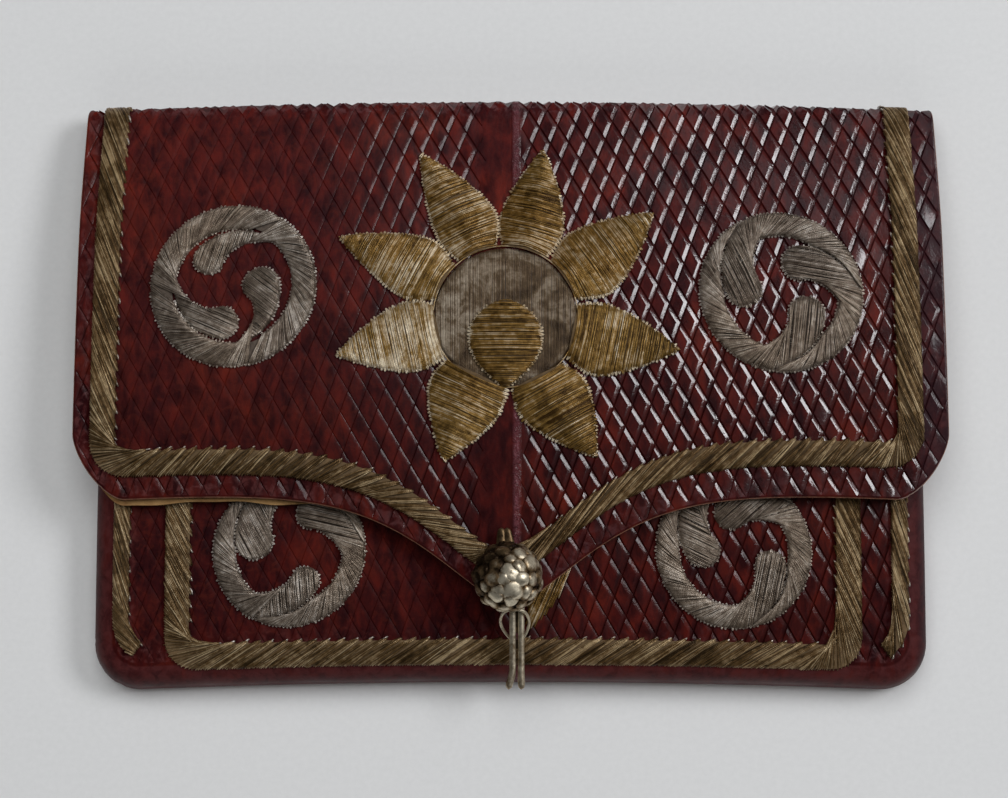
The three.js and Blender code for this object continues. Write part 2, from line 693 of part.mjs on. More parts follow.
addPiece('cover', cover(), leather);
addPiece('flap_lining', flapLining(), tanLeather);
addPiece('front_panel', frontPanel(), leather);
addPiece('flap_border', flapBorder(), goldThread);
PETALS.forEach((row, index) => addPiece(`flower_petal_${index + 1}`, petal(row), goldThread));
addPiece('flower_disc', flowerDisc(), silverThread);
addPiece('flower_drop', flowerDrop(), goldThread);
ROUNDELS.forEach((row) => addPiece(row.name, roundel(row), silverThread));
addPiece('front_border', frontBorder(), goldThread);
addPiece('front_edge_border_left', edgeBorder(-1), goldThread);
addPiece('front_edge_border_right', edgeBorder(1), goldThread);
addPiece('front_leaf', frontLeaf(), goldThread);
addPiece('clasp_button', claspButton(), claspMetal);
addPiece('clasp_pin', claspPin(), claspMetal);
addPiece('clasp_loop', claspLoop(), claspMetal);

export default wallet;
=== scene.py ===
# %% [markdown]
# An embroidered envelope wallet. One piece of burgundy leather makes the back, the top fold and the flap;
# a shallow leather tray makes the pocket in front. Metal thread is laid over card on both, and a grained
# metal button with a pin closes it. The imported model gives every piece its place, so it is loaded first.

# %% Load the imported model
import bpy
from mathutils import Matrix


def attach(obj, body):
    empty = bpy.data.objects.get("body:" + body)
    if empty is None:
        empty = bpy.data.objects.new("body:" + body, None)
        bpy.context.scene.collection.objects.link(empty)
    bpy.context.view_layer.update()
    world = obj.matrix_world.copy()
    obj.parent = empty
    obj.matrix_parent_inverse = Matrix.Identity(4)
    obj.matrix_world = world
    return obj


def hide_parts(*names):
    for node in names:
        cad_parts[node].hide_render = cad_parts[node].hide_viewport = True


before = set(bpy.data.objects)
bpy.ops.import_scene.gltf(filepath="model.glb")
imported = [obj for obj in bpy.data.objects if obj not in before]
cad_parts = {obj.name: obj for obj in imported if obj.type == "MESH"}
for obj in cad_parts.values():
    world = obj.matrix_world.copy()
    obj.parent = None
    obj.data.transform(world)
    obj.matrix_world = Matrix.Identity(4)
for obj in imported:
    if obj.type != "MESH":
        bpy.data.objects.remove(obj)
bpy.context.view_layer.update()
print("pieces in the packed model:", len(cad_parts))

# %% Modules and the unit
import math

import bmesh
import bpy
import numpy as np

MM = 0.001
scene = bpy.context.scene
print("one millimetre is", MM, "Blender units")

# %% [markdown]
# The camera looks almost straight down on the wallet from a little below its middle, with a long lens, as
# the photograph does. It could be turned by a tracking constraint, but a plain tilt about X says the same
# thing and stays put.

# %% Camera
CAMERA_TARGET = np.array([-1.27, -2.915, 15.0])
CAMERA_DISTANCE = 480.0
CAMERA_TILT = math.radians(8)


def place_camera():
    lens = bpy.data.cameras.new("camera")
    lens.lens = 90.13
    lens.sensor_width = 36.0
    lens.sensor_fit = "HORIZONTAL"
    eye = bpy.data.objects.new("camera", lens)
    back_off = np.array([0.0, -math.sin(CAMERA_TILT), math.cos(CAMERA_TILT)]) * CAMERA_DISTANCE
    eye.location = (CAMERA_TARGET + back_off) * MM
    eye.rotation_euler = (CAMERA_TILT, 0.0, 0.0)
    scene.collection.objects.link(eye)
    scene.camera = eye
    return eye


camera = place_camera()
print("camera at", [round(value, 3) for value in camera.location])

# %% [markdown]
# A small bright window near the right lights the wallet in the photograph: only the right hand slopes of the
# embossing glint, and a soft shadow falls to the left. An area light does the same. The light that pale walls
# throw back comes from big lamps that add no gloss, as the room above was dark, and a dim glow beside it.

# %% Lights
LAMPS = [
    ("window", (1.04, 0.34, 1.16), (0.68, 0.5), 10.6, (0.965, 0.975, 1.0), True),
    ("wall_bounce", (-0.15, 0.45, 1.5), (1.3, 1.3), 15.4, (0.975, 0.988, 1.0), False),
    ("front_bounce", (0.0, -1.1, 0.6), (1.2, 0.5), 2.4, (0.985, 0.99, 1.0), False),
    ("window_glow", (0.35, 0.5, 0.65), (0.5, 0.5), 0.28, (0.97, 0.95, 1.0), True),
]


def aim_at_middle(lamp):
    direction = -lamp.location
    lamp.rotation_euler = direction.to_track_quat("-Z", "Y").to_euler()


def hang_lamp(name, place, size, power, tint, gloss):
    light = bpy.data.lights.new(name, "AREA")
    light.shape = "RECTANGLE"
    light.size, light.size_y = size
    light.energy = power
    light.color = tint
    lamp = bpy.data.objects.new(name, light)
    lamp.location = place
    lamp.visible_glossy = gloss
    aim_at_middle(lamp)
    scene.collection.objects.link(lamp)


for row in LAMPS:
    hang_lamp(*row)
print("lamps hung:", [row[0] for row in LAMPS])

# %% World and view
world = bpy.data.worlds.new("room")
scene.world = world
world.use_nodes = True
room = world.node_tree.nodes["Background"]
room.inputs["Color"].default_value = (0.93, 0.96, 1.0, 1.0)
room.inputs["Strength"].default_value = 0.02
scene.view_settings.view_transform = "Standard"
print("room light strength", room.inputs["Strength"].default_value)

# %% [markdown]
# Materials are node trees. A few tiny helpers keep them readable: one makes a new tree, one adds a node and
# joins its inputs, and one adds a colour ramp.

# %% Material helpers
def new_finish(name):
    finish = bpy.data.materials.new(name)
    finish.use_nodes = True
    tree = finish.node_tree
    where = node(tree, "ShaderNodeTexCoord").outputs["Object"]
    return finish, tree, tree.nodes["Principled BSDF"], where


def node(tree, kind, values=None, joins=None, **settings):
    made = tree.nodes.new(kind)
    for key, value in settings.items():
        setattr(made, key, value)
    for key, value in (values or {}).items():
        made.inputs[key].default_value = value
    for key, socket in (joins or {}).items():
        tree.links.new(socket, made.inputs[key])
    return made


def ramp(tree, factor, stops):
    made = tree.nodes.new("ShaderNodeValToRGB")
    elements = made.color_ramp.elements
    while len(elements) < len(stops):
        elements.new(0.5)
    for element, (position, colour) in zip(elements, stops):
        element.position = position
        element.color = (*colour, 1.0)
    tree.links.new(factor, made.inputs["Fac"])
    return made.outputs["Color"]


def noise(tree, where, scale, detail=4.0, rough=0.55, warp=0.0):
    values = {"Scale": scale, "Detail": detail, "Roughness": rough, "Distortion": warp}
    return node(tree, "ShaderNodeTexNoise", values, {"Vector": where}).outputs["Fac"]


def spread(tree, value, low, high, to_low, to_high):
    values = {"From Min": low, "From Max": high, "To Min": to_low, "To Max": to_high}
    made = node(tree, "ShaderNodeMapRange", values, {"Value": value}, interpolation_type="SMOOTHSTEP")
    return made.outputs["Result"]


def blend(tree, factor, under, over, kind="MIX"):
    made = node(tree, "ShaderNodeMix", data_type="RGBA", blend_type=kind)
    for key, item in (("Factor", factor), ("A", under), ("B", over)):
        socket = [one for one in made.inputs if one.name == key and one.enabled][0]
        if isinstance(item, bpy.types.NodeSocket):
            tree.links.new(item, socket)
        else:
            socket.default_value = item
    return [one for one in made.outputs if one.enabled][0]


def sum_of(tree, first, second, operation="ADD"):
    made = node(tree, "ShaderNodeMath", operation=operation)
    for socket, item in zip(made.inputs, (first, second)):
        if isinstance(item, bpy.types.NodeSocket):
            tree.links.new(item, socket)
        else:
            socket.default_value = item
    return made.outputs["Value"]


def times(tree, first, second):
    return sum_of(tree, first, second, "MULTIPLY")


def mark(tree, name):
    return node(tree, "ShaderNodeAttribute", attribute_name=name).outputs["Fac"]


def raise_bump(tree, shader, layers):
    normal = None
    for height, strength, distance in layers:
        values = {"Strength": strength, "Distance": distance}
        joins = {"Height": height}
        if normal is not None:
            joins["Normal"] = normal
        normal = node(tree, "ShaderNodeBump", values, joins).outputs["Normal"]
    tree.links.new(normal, shader.inputs["Normal"])
    return normal


def matt_finish(name, colours, speckle, dullness, nap=None, rise=0.0):
    finish, tree, shader, where = new_finish(name)
    tree.links.new(ramp(tree, noise(tree, where, *speckle), colours), shader.inputs["Base Color"])
    shader.inputs["Roughness"].default_value = dullness
    if nap is not None:
        raise_bump(tree, shader, [(noise(tree, where, *nap), rise, 0.0002)])
    return finish


print("material helpers ready")

# %% [markdown]
# The wallet lies on plain pale card. It only has to take the soft shadow, so it is one sheet with a very
# faint grain.

# %% Floor
PALE = [(0.3, (0.70, 0.70, 0.695)), (0.7, (0.73, 0.73, 0.725))]
pale_card = matt_finish("pale_card", PALE, (900.0, 3.0), 0.9)


def lay_floor():
    side = 2.5
    corners = [(-side, -side, 0.0), (side, -side, 0.0), (side, side, 0.0), (-side, side, 0.0)]
    mesh = bpy.data.meshes.new("floor")
    mesh.from_pydata(corners, [], [(0, 1, 2, 3)])
    floor = bpy.data.objects.new("floor", mesh)
    floor.data.materials.append(pale_card)
    scene.collection.objects.link(floor)
    return floor


floor = lay_floor()
print("floor laid, corners:", len(floor.data.vertices))

# %% [markdown]
# Everything on the wallet lies on one of two leather surfaces. The cover is flat at the back, turns round
# the top fold and comes down as a gently bellied flap. Both surfaces are written here as functions from a
# flat pattern, as a leather worker would cut it, to the finished shape. The pattern of the cover uses x
# across and v up along the leather, with v = 0 where the fold ends and the flap begins.

# %% Measures of the leather
LEATHER = 1.6
LINING = 0.8
GAP = 0.3
FRAME_SHIFT = 0.425
BACK_HALF_WIDTH = 79.3
FOLD_HALF_WIDTH = 82.9
FLAP_HALF_WIDTH = 83.4
BACK_BOTTOM = -55.9
BODY_BOTTOM = -56.2
BODY_CORNER = 9.0
FOLD_TURN = math.radians(163)
SECTION = [(None, 108.95), (4.4, 4.4 * FOLD_TURN), (140.0, 140.0 * math.radians(12)), (480.0, 400.0)]
BACK_LENGTH = SECTION[0][1]
FOLD_LENGTH = SECTION[1][1]
TO_FOLD_END = BACK_LENGTH + FOLD_LENGTH


def ease(value, low, high):
    share = np.clip((value - low) / (high - low), 0.0, 1.0)
    return share * share * (3.0 - 2.0 * share)


def mix(low, high, share):
    return low + (high - low) * share


def pairs(x, y):
    return np.stack(np.broadcast_arrays(x, y), -1)


def bow(x):
    return 1.75 * (x / 80.0) ** 2


def droop(x):
    return 1.1 * (x / 80.0) ** 4


print("leather goes", round(TO_FOLD_END, 1), "mm from the back's lower edge to the fold's end")


# %% The cover as a surface
def cover_line(v, height):
    along = TO_FOLD_END - v
    heading = np.zeros_like(along)
    y = np.full_like(along, BACK_BOTTOM)
    z = np.zeros_like(along)
    start = 0.0
    for radius, length in SECTION:
        run = np.clip(along - start, 0.0, length)
        if radius is None:
            y = y + run
        else:
            after = heading + run / radius
            y = y + radius * (np.sin(after) - np.sin(heading))
            z = z + radius * (np.cos(heading) - np.cos(after))
            heading = after
        start += length
    return y + np.sin(heading) * height, z - np.cos(heading) * height


def flap_wave(x, v):
    roll = np.sin(x / 9.5 + 0.6) * np.sin(v / 13.0 + 1.1) + 0.7 * np.sin(x / 17.0 - v / 21.0)
    return 0.09 * roll * ease(-v, 4.0, 30.0)


def on_cover(x, v, height):
    x, v, height = np.broadcast_arrays(np.asarray(x, float), v, height)
    y, z = cover_line(v, height)
    fall = droop(x) * ease(-v, 1.0, 26.0)
    return np.stack([x, y - bow(x) + FRAME_SHIFT, z - fall + flap_wave(x, v)], -1) * MM


V_TABLE = np.linspace(0.0, -130.0, 2601)
Y_TABLE = cover_line(V_TABLE, np.zeros_like(V_TABLE))[0]


def v_of(y):
    return np.interp(y, Y_TABLE[::-1], V_TABLE[::-1])


def y_of(v):
    return np.interp(-v, -V_TABLE, Y_TABLE)


def on_flap(x, y, height):
    return on_cover(x, v_of(y), height)


def cover_half_width(v):
    back = mix(BACK_HALF_WIDTH, FOLD_HALF_WIDTH, ease(-v, -TO_FOLD_END, -FOLD_LENGTH))
    return mix(back, FLAP_HALF_WIDTH, ease(-v, 1.0, 26.0))


crest = on_cover(0.0, v_of(-16.7), 0.0)
print("flap crest at", np.round(crest / MM, 2), "mm")


# %% The front panel as a surface
FRONT_HALF_WIDTH = 79.5
ROLL = 4.4
MOUTH_Y = 42.0


def front_height(x, y):
    return 11.4 - (y + 15.0) ** 2 / 1000.0 - droop(x)


def on_front(x, y, height):
    x, y, height = np.broadcast_arrays(np.asarray(x, float), y, height)
    wave = 0.07 * np.sin(x / 11.0 + 2.0) * np.sin(y / 9.0)
    return np.stack([x, y - bow(x) + FRAME_SHIFT, front_height(x, y) + wave + height], -1) * MM


print("front panel stands", round(float(front_height(0.0, -15.0)), 2), "mm high at its crest")

# %% [markdown]
# The leather is pressed all over with small upright lozenges, each a soft pillow between narrow grooves. A
# bump texture alone would lose the glints on the pillows' slopes, so they are real relief. The stamp leaned:
# right hand slopes are broad and left hand walls steep. The pattern is a slanted lattice of lines close to
# the slopes, so a lozenge costs only 32 triangles, and it is cut where its lines cross the outline.

# %% The lozenge lattice
LOZENGE = (3.58, 7.65)
LATTICE_TURN = math.radians(5)
UP_RIGHT = np.array([(0.0, 0.0), (0.06, 1.0), (0.74, 1.0), (0.94, 0.37)])
DOWN_RIGHT = np.array([(0.0, 0.0), (0.06, 0.37), (0.26, 1.0), (0.94, 1.0)])
PILLOW = (UP_RIGHT, DOWN_RIGHT)
PLAIN = (np.array([(0.0, 1.0)]), np.array([(0.0, 1.0)]))


def turned(x, y, angle):
    return np.array([x * math.cos(angle) - y * math.sin(angle), x * math.sin(angle) + y * math.cos(angle)])


RIGHTWARD = turned(LOZENGE[0] / 2, LOZENGE[1] / 2, LATTICE_TURN)
LEFTWARD = turned(-LOZENGE[0] / 2, LOZENGE[1] / 2, LATTICE_TURN)
TO_LATTICE = np.linalg.inv(np.stack([RIGHTWARD, LEFTWARD], 1))


def lattice_lines(low, high, column, profile):
    shares, rise = profile.T
    corners = np.array([[x, v] for x in (low[0], high[0]) for v in (low[1], high[1])])
    cells = (corners @ TO_LATTICE.T)[:, column]
    whole = np.arange(math.floor(cells.min()), math.ceil(cells.max()) + 1)
    lines = (whole[:, None] + shares).ravel()
    return lines, np.tile(rise, len(whole)), np.repeat(np.arange(len(whole)), len(shares))


print("lozenge sides", np.round(RIGHTWARD, 2), np.round(LEFTWARD, 2))


# %% Cutting the lattice to an outline
def slope_of(distance, places, step=0.02):
    x, v = places[..., 0], places[..., 1]
    across = distance(x + step, v) - distance(x - step, v)
    upward = distance(x, v + step) - distance(x, v - step)
    slope = pairs(across, upward)
    return slope / np.maximum(np.linalg.norm(slope, axis=-1, keepdims=True), 1e-9)


def grid_quads(ids):
    return np.stack([ids[:-1, :-1], ids[1:, :-1], ids[1:, 1:], ids[:-1, 1:]], -1).reshape(-1, 4)


def cut_lattice(distance, low, high, profiles, seed):
    lines_a, rise_a, cell_a = lattice_lines(low, high, 0, profiles[0])
    lines_b, rise_b, cell_b = lattice_lines(low, high, 1, profiles[1])
    grid = lines_a[:, None, None] * RIGHTWARD + lines_b[None, :, None] * LEFTWARD
    inside = distance(grid[..., 0], grid[..., 1])
    near = np.abs(inside) < 0.12
    grid[near] -= inside[near][:, None] * slope_of(distance, grid[near])
    inside[near] = 0.0
    pillow = np.minimum(rise_a[:, None], rise_b[None, :])
    draw = np.random.default_rng(seed).uniform(-1, 1, (3, cell_a[-1] + 1, cell_b[-1] + 1))
    pick = draw[:, cell_a[:, None], cell_b[None, :]]
    lean = pick[0] * (lines_a % 1.0 - 0.5)[:, None] + pick[1] * (lines_b % 1.0 - 0.5)[None, :]
    tilt = (lean + 0.25 * pick[2]) * pillow
    return stitch_cells(distance, grid, inside, pillow, tilt)


def stitch_cells(distance, grid, inside, pillow, tilt):
    ids = np.arange(inside.size).reshape(inside.shape)
    quads = grid_quads(ids)
    values = np.column_stack([grid.reshape(-1, 2), pillow.ravel(), tilt.ravel()])
    depth = inside.ravel()
    kept = depth[quads] >= 0.0
    faces = quads[kept.all(1)].tolist()
    added, found, slid = [], {}, []

    def spot(index):
        return values[index] if index < len(values) else added[index - len(values)]

    def extra_points(here, after):
        start, end = spot(here), spot(after)
        count = int(np.hypot(*(end - start)[:2]) / 0.7)
        first = len(values) + len(added)
        added.extend(mix(start, end, (step + 1) / (count + 1)) for step in range(count))
        slid.extend(range(first, first + count))
        return list(range(first, first + count))

    def crossing(here, after):
        key = (min(here, after), max(here, after))
        if key not in found:
            share = depth[here] / (depth[here] - depth[after])
            found[key] = len(values) + len(added)
            added.append(mix(values[here], values[after], share))
        return found[key]

    for quad in quads[kept.any(1) & ~kept.all(1)].tolist():
        outline = []
        for here, after in zip(quad, quad[1:] + quad[:1]):
            if depth[here] >= 0.0:
                outline.append(here)
            if depth[here] * depth[after] < 0.0:
                outline.append(crossing(here, after))
        if len(outline) > 2:
            on_edge = [corner >= len(values) or depth[corner] == 0.0 for corner in outline]
            whole = []
            for corner, here in enumerate(outline):
                after = outline[(corner + 1) % len(outline)]
                whole.append(here)
                if on_edge[corner] and on_edge[(corner + 1) % len(outline)]:
                    whole.extend(extra_points(here, after))
            faces.append(whole)
    sheet = np.vstack([values, *added])
    for _ in range(2):
        spots = sheet[slid, :2]
        sheet[slid, :2] = spots - distance(*spots.T)[:, None] * slope_of(distance, spots)
    return tidy_sheet(sheet, faces)


def tidy_sheet(values, faces):
    used = sorted({corner for face in faces for corner in face})
    place = {old: new for new, old in enumerate(used)}
    return values[used], [[place[corner] for corner in face] for face in faces]


# %% Walking round the edge of a sheet
def rim_of(faces):
    ahead = {}
    for face in faces:
        for here, after in zip(face, face[1:] + face[:1]):
            ahead[(here, after)] = True
    step = {here: after for here, after in ahead if (after, here) not in ahead}
    start = min(step)
    loop = [start]
    while step[loop[-1]] != start and len(loop) <= len(step):
        loop.append(step[loop[-1]])
    return loop


print("lattice can be cut and its rim walked")

# %% [markdown]
# Every piece goes into Blender the same way: points, faces, a finish for each face, and a few numbers on
# each point that the finish reads, such as how deep in a groove it lies. Writing this once keeps the pieces
# short.

# %% Making a piece
CRISP_ANGLE = math.radians(16)


def join_shapes(shapes):
    points, faces, finishes, marks, start = [], [], [], {}, 0
    for shape in shapes:
        points.append(shape["points"])
        faces.extend((np.asarray(face) + start).tolist() for face in shape["faces"])
        finishes.extend([shape.get("finish", 0)] * len(shape["faces"]))
        start += len(shape["points"])
    for name in sorted({key for shape in shapes for key in shape.get("marks", {})}):
        blank = [shape.get("marks", {}).get(name, np.zeros(len(shape["points"]))) for shape in shapes]
        marks[name] = np.concatenate(blank)
    return {"points": np.concatenate(points), "faces": faces, "finishes": finishes, "marks": marks}


def make_piece(name, shapes, finishes, nodes, crisp=False):
    whole = join_shapes(shapes)
    mesh = bpy.data.meshes.new(name)
    mesh.from_pydata(whole["points"].tolist(), [], whole["faces"])
    mesh.polygons.foreach_set("material_index", whole["finishes"])
    mesh.polygons.foreach_set("use_smooth", [True] * len(mesh.polygons))
    if crisp:
        mesh.set_sharp_from_angle(angle=CRISP_ANGLE)
    for key, numbers in whole["marks"].items():
        layer = mesh.attributes.new(key, "FLOAT", "POINT")
        layer.data.foreach_set("value", np.asarray(numbers, np.float32))
    mesh.update()
    piece = bpy.data.objects.new(name, mesh)
    for finish in finishes:
        mesh.materials.append(finish)
    scene.collection.objects.link(piece)
    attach(piece, "root")
    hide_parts(*nodes)
    triangles = sum(len(face) - 2 for face in whole["faces"])
    print(name, "made with", triangles, "triangles")
    return piece


# %% [markdown]
# Old burgundy leather: dark wine red mottled with purple and brick, browner and less glossy on the left where
# it was handled, glossy on the right. The raw cut edge shows paler. Colour comes from two sizes of noise and
# from the groove numbers on the mesh, which darken the grooves as painted shade. The upper part is lighter
# as a painted sheen, the central ridge is painted pink as a highlight, and the right margin is darker as
# painted shade. The gloss is a thin coat that the wear takes off, and the grain is bump.

# %% Leather finish
def burgundy_leather():
    finish, tree, shader, where = new_finish("burgundy_leather")
    apart = node(tree, "ShaderNodeSeparateXYZ", joins={"Vector": where}).outputs
    across, upward = apart["X"], apart["Y"]
    upright = node(tree, "ShaderNodeMapping", {"Scale": (1.0, 0.4, 1.0)}, {"Vector": where}).outputs["Vector"]
    patches = noise(tree, where, 48.0, 5.0, 0.6, 0.3)
    dashes = noise(tree, upright, 420.0, 4.0, 0.6, 0.4)
    mottle = noise(tree, where, 520.0, 5.0, 0.65, 0.6)
    wine = ramp(tree, patches, [(0.36, (0.027, 0.0032, 0.0038)), (0.52, (0.039, 0.0044, 0.0040)),
                                (0.68, (0.056, 0.0064, 0.0038))])
    fleck = ramp(tree, dashes, [(0.36, (0.36, 0.36, 0.56)), (0.5, (0.95, 0.95, 0.95)),
                                (0.66, (1.9, 1.65, 1.2))])
    colour = blend(tree, 0.85, wine, fleck, "MULTIPLY")
    # Painted sheen: the leather is made lighter towards the top.
    sheen_towards_top = spread(tree, upward, -0.02, 0.045, 0.0, 1.0)
    colour = blend(tree, sheen_towards_top, colour, (1.4, 1.35, 1.35, 1.0), "MULTIPLY")
    drift = spread(tree, patches, 0.3, 0.7, -0.012, 0.012)
    handled = spread(tree, sum_of(tree, across, drift), -0.05, 0.012, 1.0, 0.0)
    worn = times(tree, handled, spread(tree, mottle, 0.46, 0.68, 0.0, 0.4))
    colour = blend(tree, worn, colour, (0.085, 0.012, 0.0065, 1.0))
    # Painted shade: the grooves are darkened, half as much on the handled left.
    deep = times(tree, spread(tree, mark(tree, "groove"), 0.35, 1.0, 0.0, 0.5),
                 spread(tree, handled, 0.0, 1.0, 1.0, 0.5))
    colour = blend(tree, deep, colour, (0.010, 0.0016, 0.0020, 1.0))
    # Painted highlight: a pink stripe along the central ridge, broken by noise; the same mask also raises the
    # wrinkle bump.
    ridge = times(tree, spread(tree, across, 0.0001, 0.0008, 0.0, 1.0),
                  spread(tree, across, 0.0013, 0.0021, 1.0, 0.0))
    creased = spread(tree, noise(tree, where, 700.0, 4.0, 0.6, 1.0), 0.3, 0.7, 0.3, 1.0)
    wrinkle_and_highlight = times(tree, ridge, creased)
    colour = blend(tree, times(tree, wrinkle_and_highlight, 0.85), colour, (0.16, 0.048, 0.058, 1.0))
    # Paler mauve along the margins and the top fold, broken by mottle.
    margin = mark(tree, "margin")
    fold = spread(tree, upward, 0.0530, 0.0565, 0.0, 1.0)
    paler_margin_and_fold = sum_of(tree, times(tree, margin, 0.4), fold, "MAXIMUM")
    paler_margin_and_fold = times(tree, paler_margin_and_fold, spread(tree, mottle, 0.46, 0.64, 0.0, 0.6))
    colour = blend(tree, paler_margin_and_fold, colour, (0.135, 0.058, 0.062, 1.0))
    matt = mark(tree, "matt")
    # Paler purple-brown on the rolled edges, broken by mottle.
    paler_rolled_edges = times(tree, spread(tree, matt, 0.5, 1.0, 0.0, 0.75), spread(tree, mottle, 0.3, 0.65, 0.25, 1.0))
    colour = blend(tree, paler_rolled_edges, colour, (0.082, 0.021, 0.021, 1.0))
    # Painted shade: the right margin is darker purple, broken by mottle.
    right_margin_shade = times(tree, spread(tree, across, 0.0765, 0.0785, 0.0, 0.75),
                    spread(tree, mottle, 0.4, 0.62, 1.0, 0.5))
    colour = blend(tree, right_margin_shade, colour, (0.022, 0.0075, 0.0105, 1.0))
    edge = spread(tree, mark(tree, "edge"), 0.3, 0.9, 0.0, 0.92)
    raw = times(tree, edge, spread(tree, mottle, 0.3, 0.6, 0.4, 1.0))
    colour = blend(tree, raw, colour, (0.34, 0.16, 0.10, 1.0))
    tree.links.new(colour, shader.inputs["Base Color"])
    wear = noise(tree, where, 130.0, 4.0, 0.6)
    tree.links.new(spread(tree, wear, 0.3, 0.7, 0.45, 0.6), shader.inputs["Roughness"])
    shader.inputs["Specular IOR Level"].default_value = 0.12
    polish = spread(tree, handled, 0.0, 1.0, 1.0, 0.4)
    polish = sum_of(tree, polish, times(tree, margin, 0.35), "MAXIMUM")
    fades = [(upward, -0.0535, -0.0505, 0.1, 1.0), (matt, 0.0, 1.0, 1.0, 0.1),
             (across, 0.0765, 0.0785, 1.0, 0.4), (across, -0.012, 0.046, 0.32, 1.0),
             (upward, -0.048, -0.016, 0.14, 1.0), (wear, 0.3, 0.7, 1.0, 0.7)]
    for value, *limits in fades:
        polish = times(tree, polish, spread(tree, value, *limits))
    tree.links.new(polish, shader.inputs["Coat Weight"])
    shader.inputs["Coat Roughness"].default_value = 0.17
    shader.inputs["Coat IOR"].default_value = 1.75
    grain = noise(tree, where, 2600.0, 3.0, 0.6)
    creases = node(tree, "ShaderNodeTexVoronoi", {"Scale": 700.0}, {"Vector": where},
                   feature="DISTANCE_TO_EDGE")
    shallow = spread(tree, creases.outputs["Distance"], 0.0, 0.12, 0.0, 1.0)
    sag = 0.0
    for level, side, bend in ((0.034, "MINIMUM", -1.5), (-0.008, "MINIMUM", 1.5), (0.034, "MAXIMUM", 5.0)):
        past = sum_of(tree, sum_of(tree, upward, level, "SUBTRACT"), 0.0, side)
        sag = sum_of(tree, times(tree, times(tree, past, past), bend), sag)
    layers = [(sag, 1.0, 1.0), (mottle, 0.15, 0.0002), (grain, 0.1, 0.0001), (shallow, 0.08, 0.0001),
              (wrinkle_and_highlight, 0.8, 0.0006)]
    tree.links.new(raise_bump(tree, shader, layers), shader.inputs["Coat Normal"])
    return finish


leather = burgundy_leather()
print("leather finish with", len(leather.node_tree.nodes), "nodes")

# %% [markdown]
# The cover's outline: square sides that widen a little towards the flap, a lower edge that dips in the
# middle like a bracket, and cut-off corners. Writing it as one smooth distance from the edge lets the same
# lines cut the lattice, fade the pressing and find which way is outwards.

# %% Outline of the cover
FLAP_EDGE_Y = -21.1
CORNER = (10.0, 13.0)


def swoop(x):
    return 21.6 * np.exp(-(np.abs(x) / 20.7) ** 1.5)


def rounded(inset_x, inset_v, corner_x, corner_v, power):
    over_x = np.maximum(0.0, 1.0 - inset_x / corner_x)
    over_v = np.maximum(0.0, 1.0 - inset_v / corner_v)
    return 1.0 - (over_x ** power + over_v ** power) ** (1.0 / power)


def cover_field(x, v):
    side = cover_half_width(v) - np.abs(x)
    y = np.where(v < 0.0, y_of(np.minimum(v, 0.0)), 60.0)
    flap = rounded(side, y + swoop(x) - FLAP_EDGE_Y, *CORNER, 1.5)
    back = rounded(side, TO_FOLD_END - v, BODY_CORNER, BODY_CORNER, 2.0)
    return np.minimum(flap * 10.0, back * BODY_CORNER)


def even_distance(field):
    def distance(x, v, step=0.05):
        across = (field(x + step, v) - field(x - step, v)) / (2 * step)
        upward = (field(x, v + step) - field(x, v - step)) / (2 * step)
        return field(x, v) / np.maximum(np.hypot(across, upward), 0.2)
    return distance


cover_distance = even_distance(cover_field)
tip_inside = cover_distance(np.array([0.0]), v_of(np.array([-41.7])))
print("flap tip lies", round(float(tip_inside[0]), 2), "mm inside")

# %% [markdown]
# Pressing depth is not even: it is shallower on the left, where the wallet was handled, and gone along the
# middle band where the leather was folded flat once. The edges are turned with a small round and end in the
# raw cut.

# %% Pressing depth
PRESSING = 0.36


def cover_pressing(x, v):
    near_edge = 1.0 - ease(cover_distance(x, v), 4.0, 8.0)
    depth = PRESSING * np.maximum(mix(0.42, 1.0, ease(x, -50.0, 12.0)), near_edge)
    band = ease(x, -6.8, -5.2) * (1.0 - ease(x, 1.8, 3.2))
    return depth * (1.0 - band)


def pressed_sheet(place, distance, pressing, low, high, seed):
    values, faces = cut_lattice(distance, low, high, PILLOW, seed)
    x, v, pillow, tilt = values.T
    depth = pressing(x, v) * ease(distance(x, v), 0.0, 0.9)
    height = -depth * (1.0 - pillow) + 0.28 * depth * tilt
    # The groove number sets where the finish paints shade in the grooves.
    marks = {"groove": (1.0 - pillow) * np.minimum(1.0, 1.6 * depth / PRESSING), "edge": np.zeros(len(x)),
             "margin": 1.0 - ease(distance(x, v), 2.6, 4.2)}
    return {"points": place(x, v, height), "faces": faces, "marks": marks}, values[:, :2]


def plain_underside(place, distance, thickness, low, high):
    values, faces = cut_lattice(distance, low, high, PLAIN, 1)
    x, v = values[:, 0], values[:, 1]
    return {"points": place(x, v, -thickness), "faces": [face[::-1] for face in faces]}


print("pressing at the right", cover_pressing(np.array([60.0]), np.array([-40.0])).round(2), "mm deep")


# %% Turned edges
ROUND = 0.5


def turned_edge(place, distance, sheet, flat, profile):
    loop = rim_of(sheet["faces"])
    rim = flat[loop]
    outward = -slope_of(distance, rim)
    rings = [sheet["points"][loop]]
    for out, height, _ in profile:
        moved = rim + outward * out
        rings.append(place(moved[:, 0], moved[:, 1], height))
    edge = [np.zeros(len(loop))] + [np.full(len(loop), raw) for _, _, raw in profile]
    faces = ring_faces(len(loop), len(rings))
    return {"points": np.concatenate(rings), "faces": faces, "marks": {"edge": np.concatenate(edge)}}


def ring_faces(count, rings):
    faces = []
    for ring in range(rings - 1):
        inner, outer = ring * count, (ring + 1) * count
        for here in range(count):
            after = (here + 1) % count
            faces.append([inner + after, inner + here, outer + here, outer + after])
    return faces


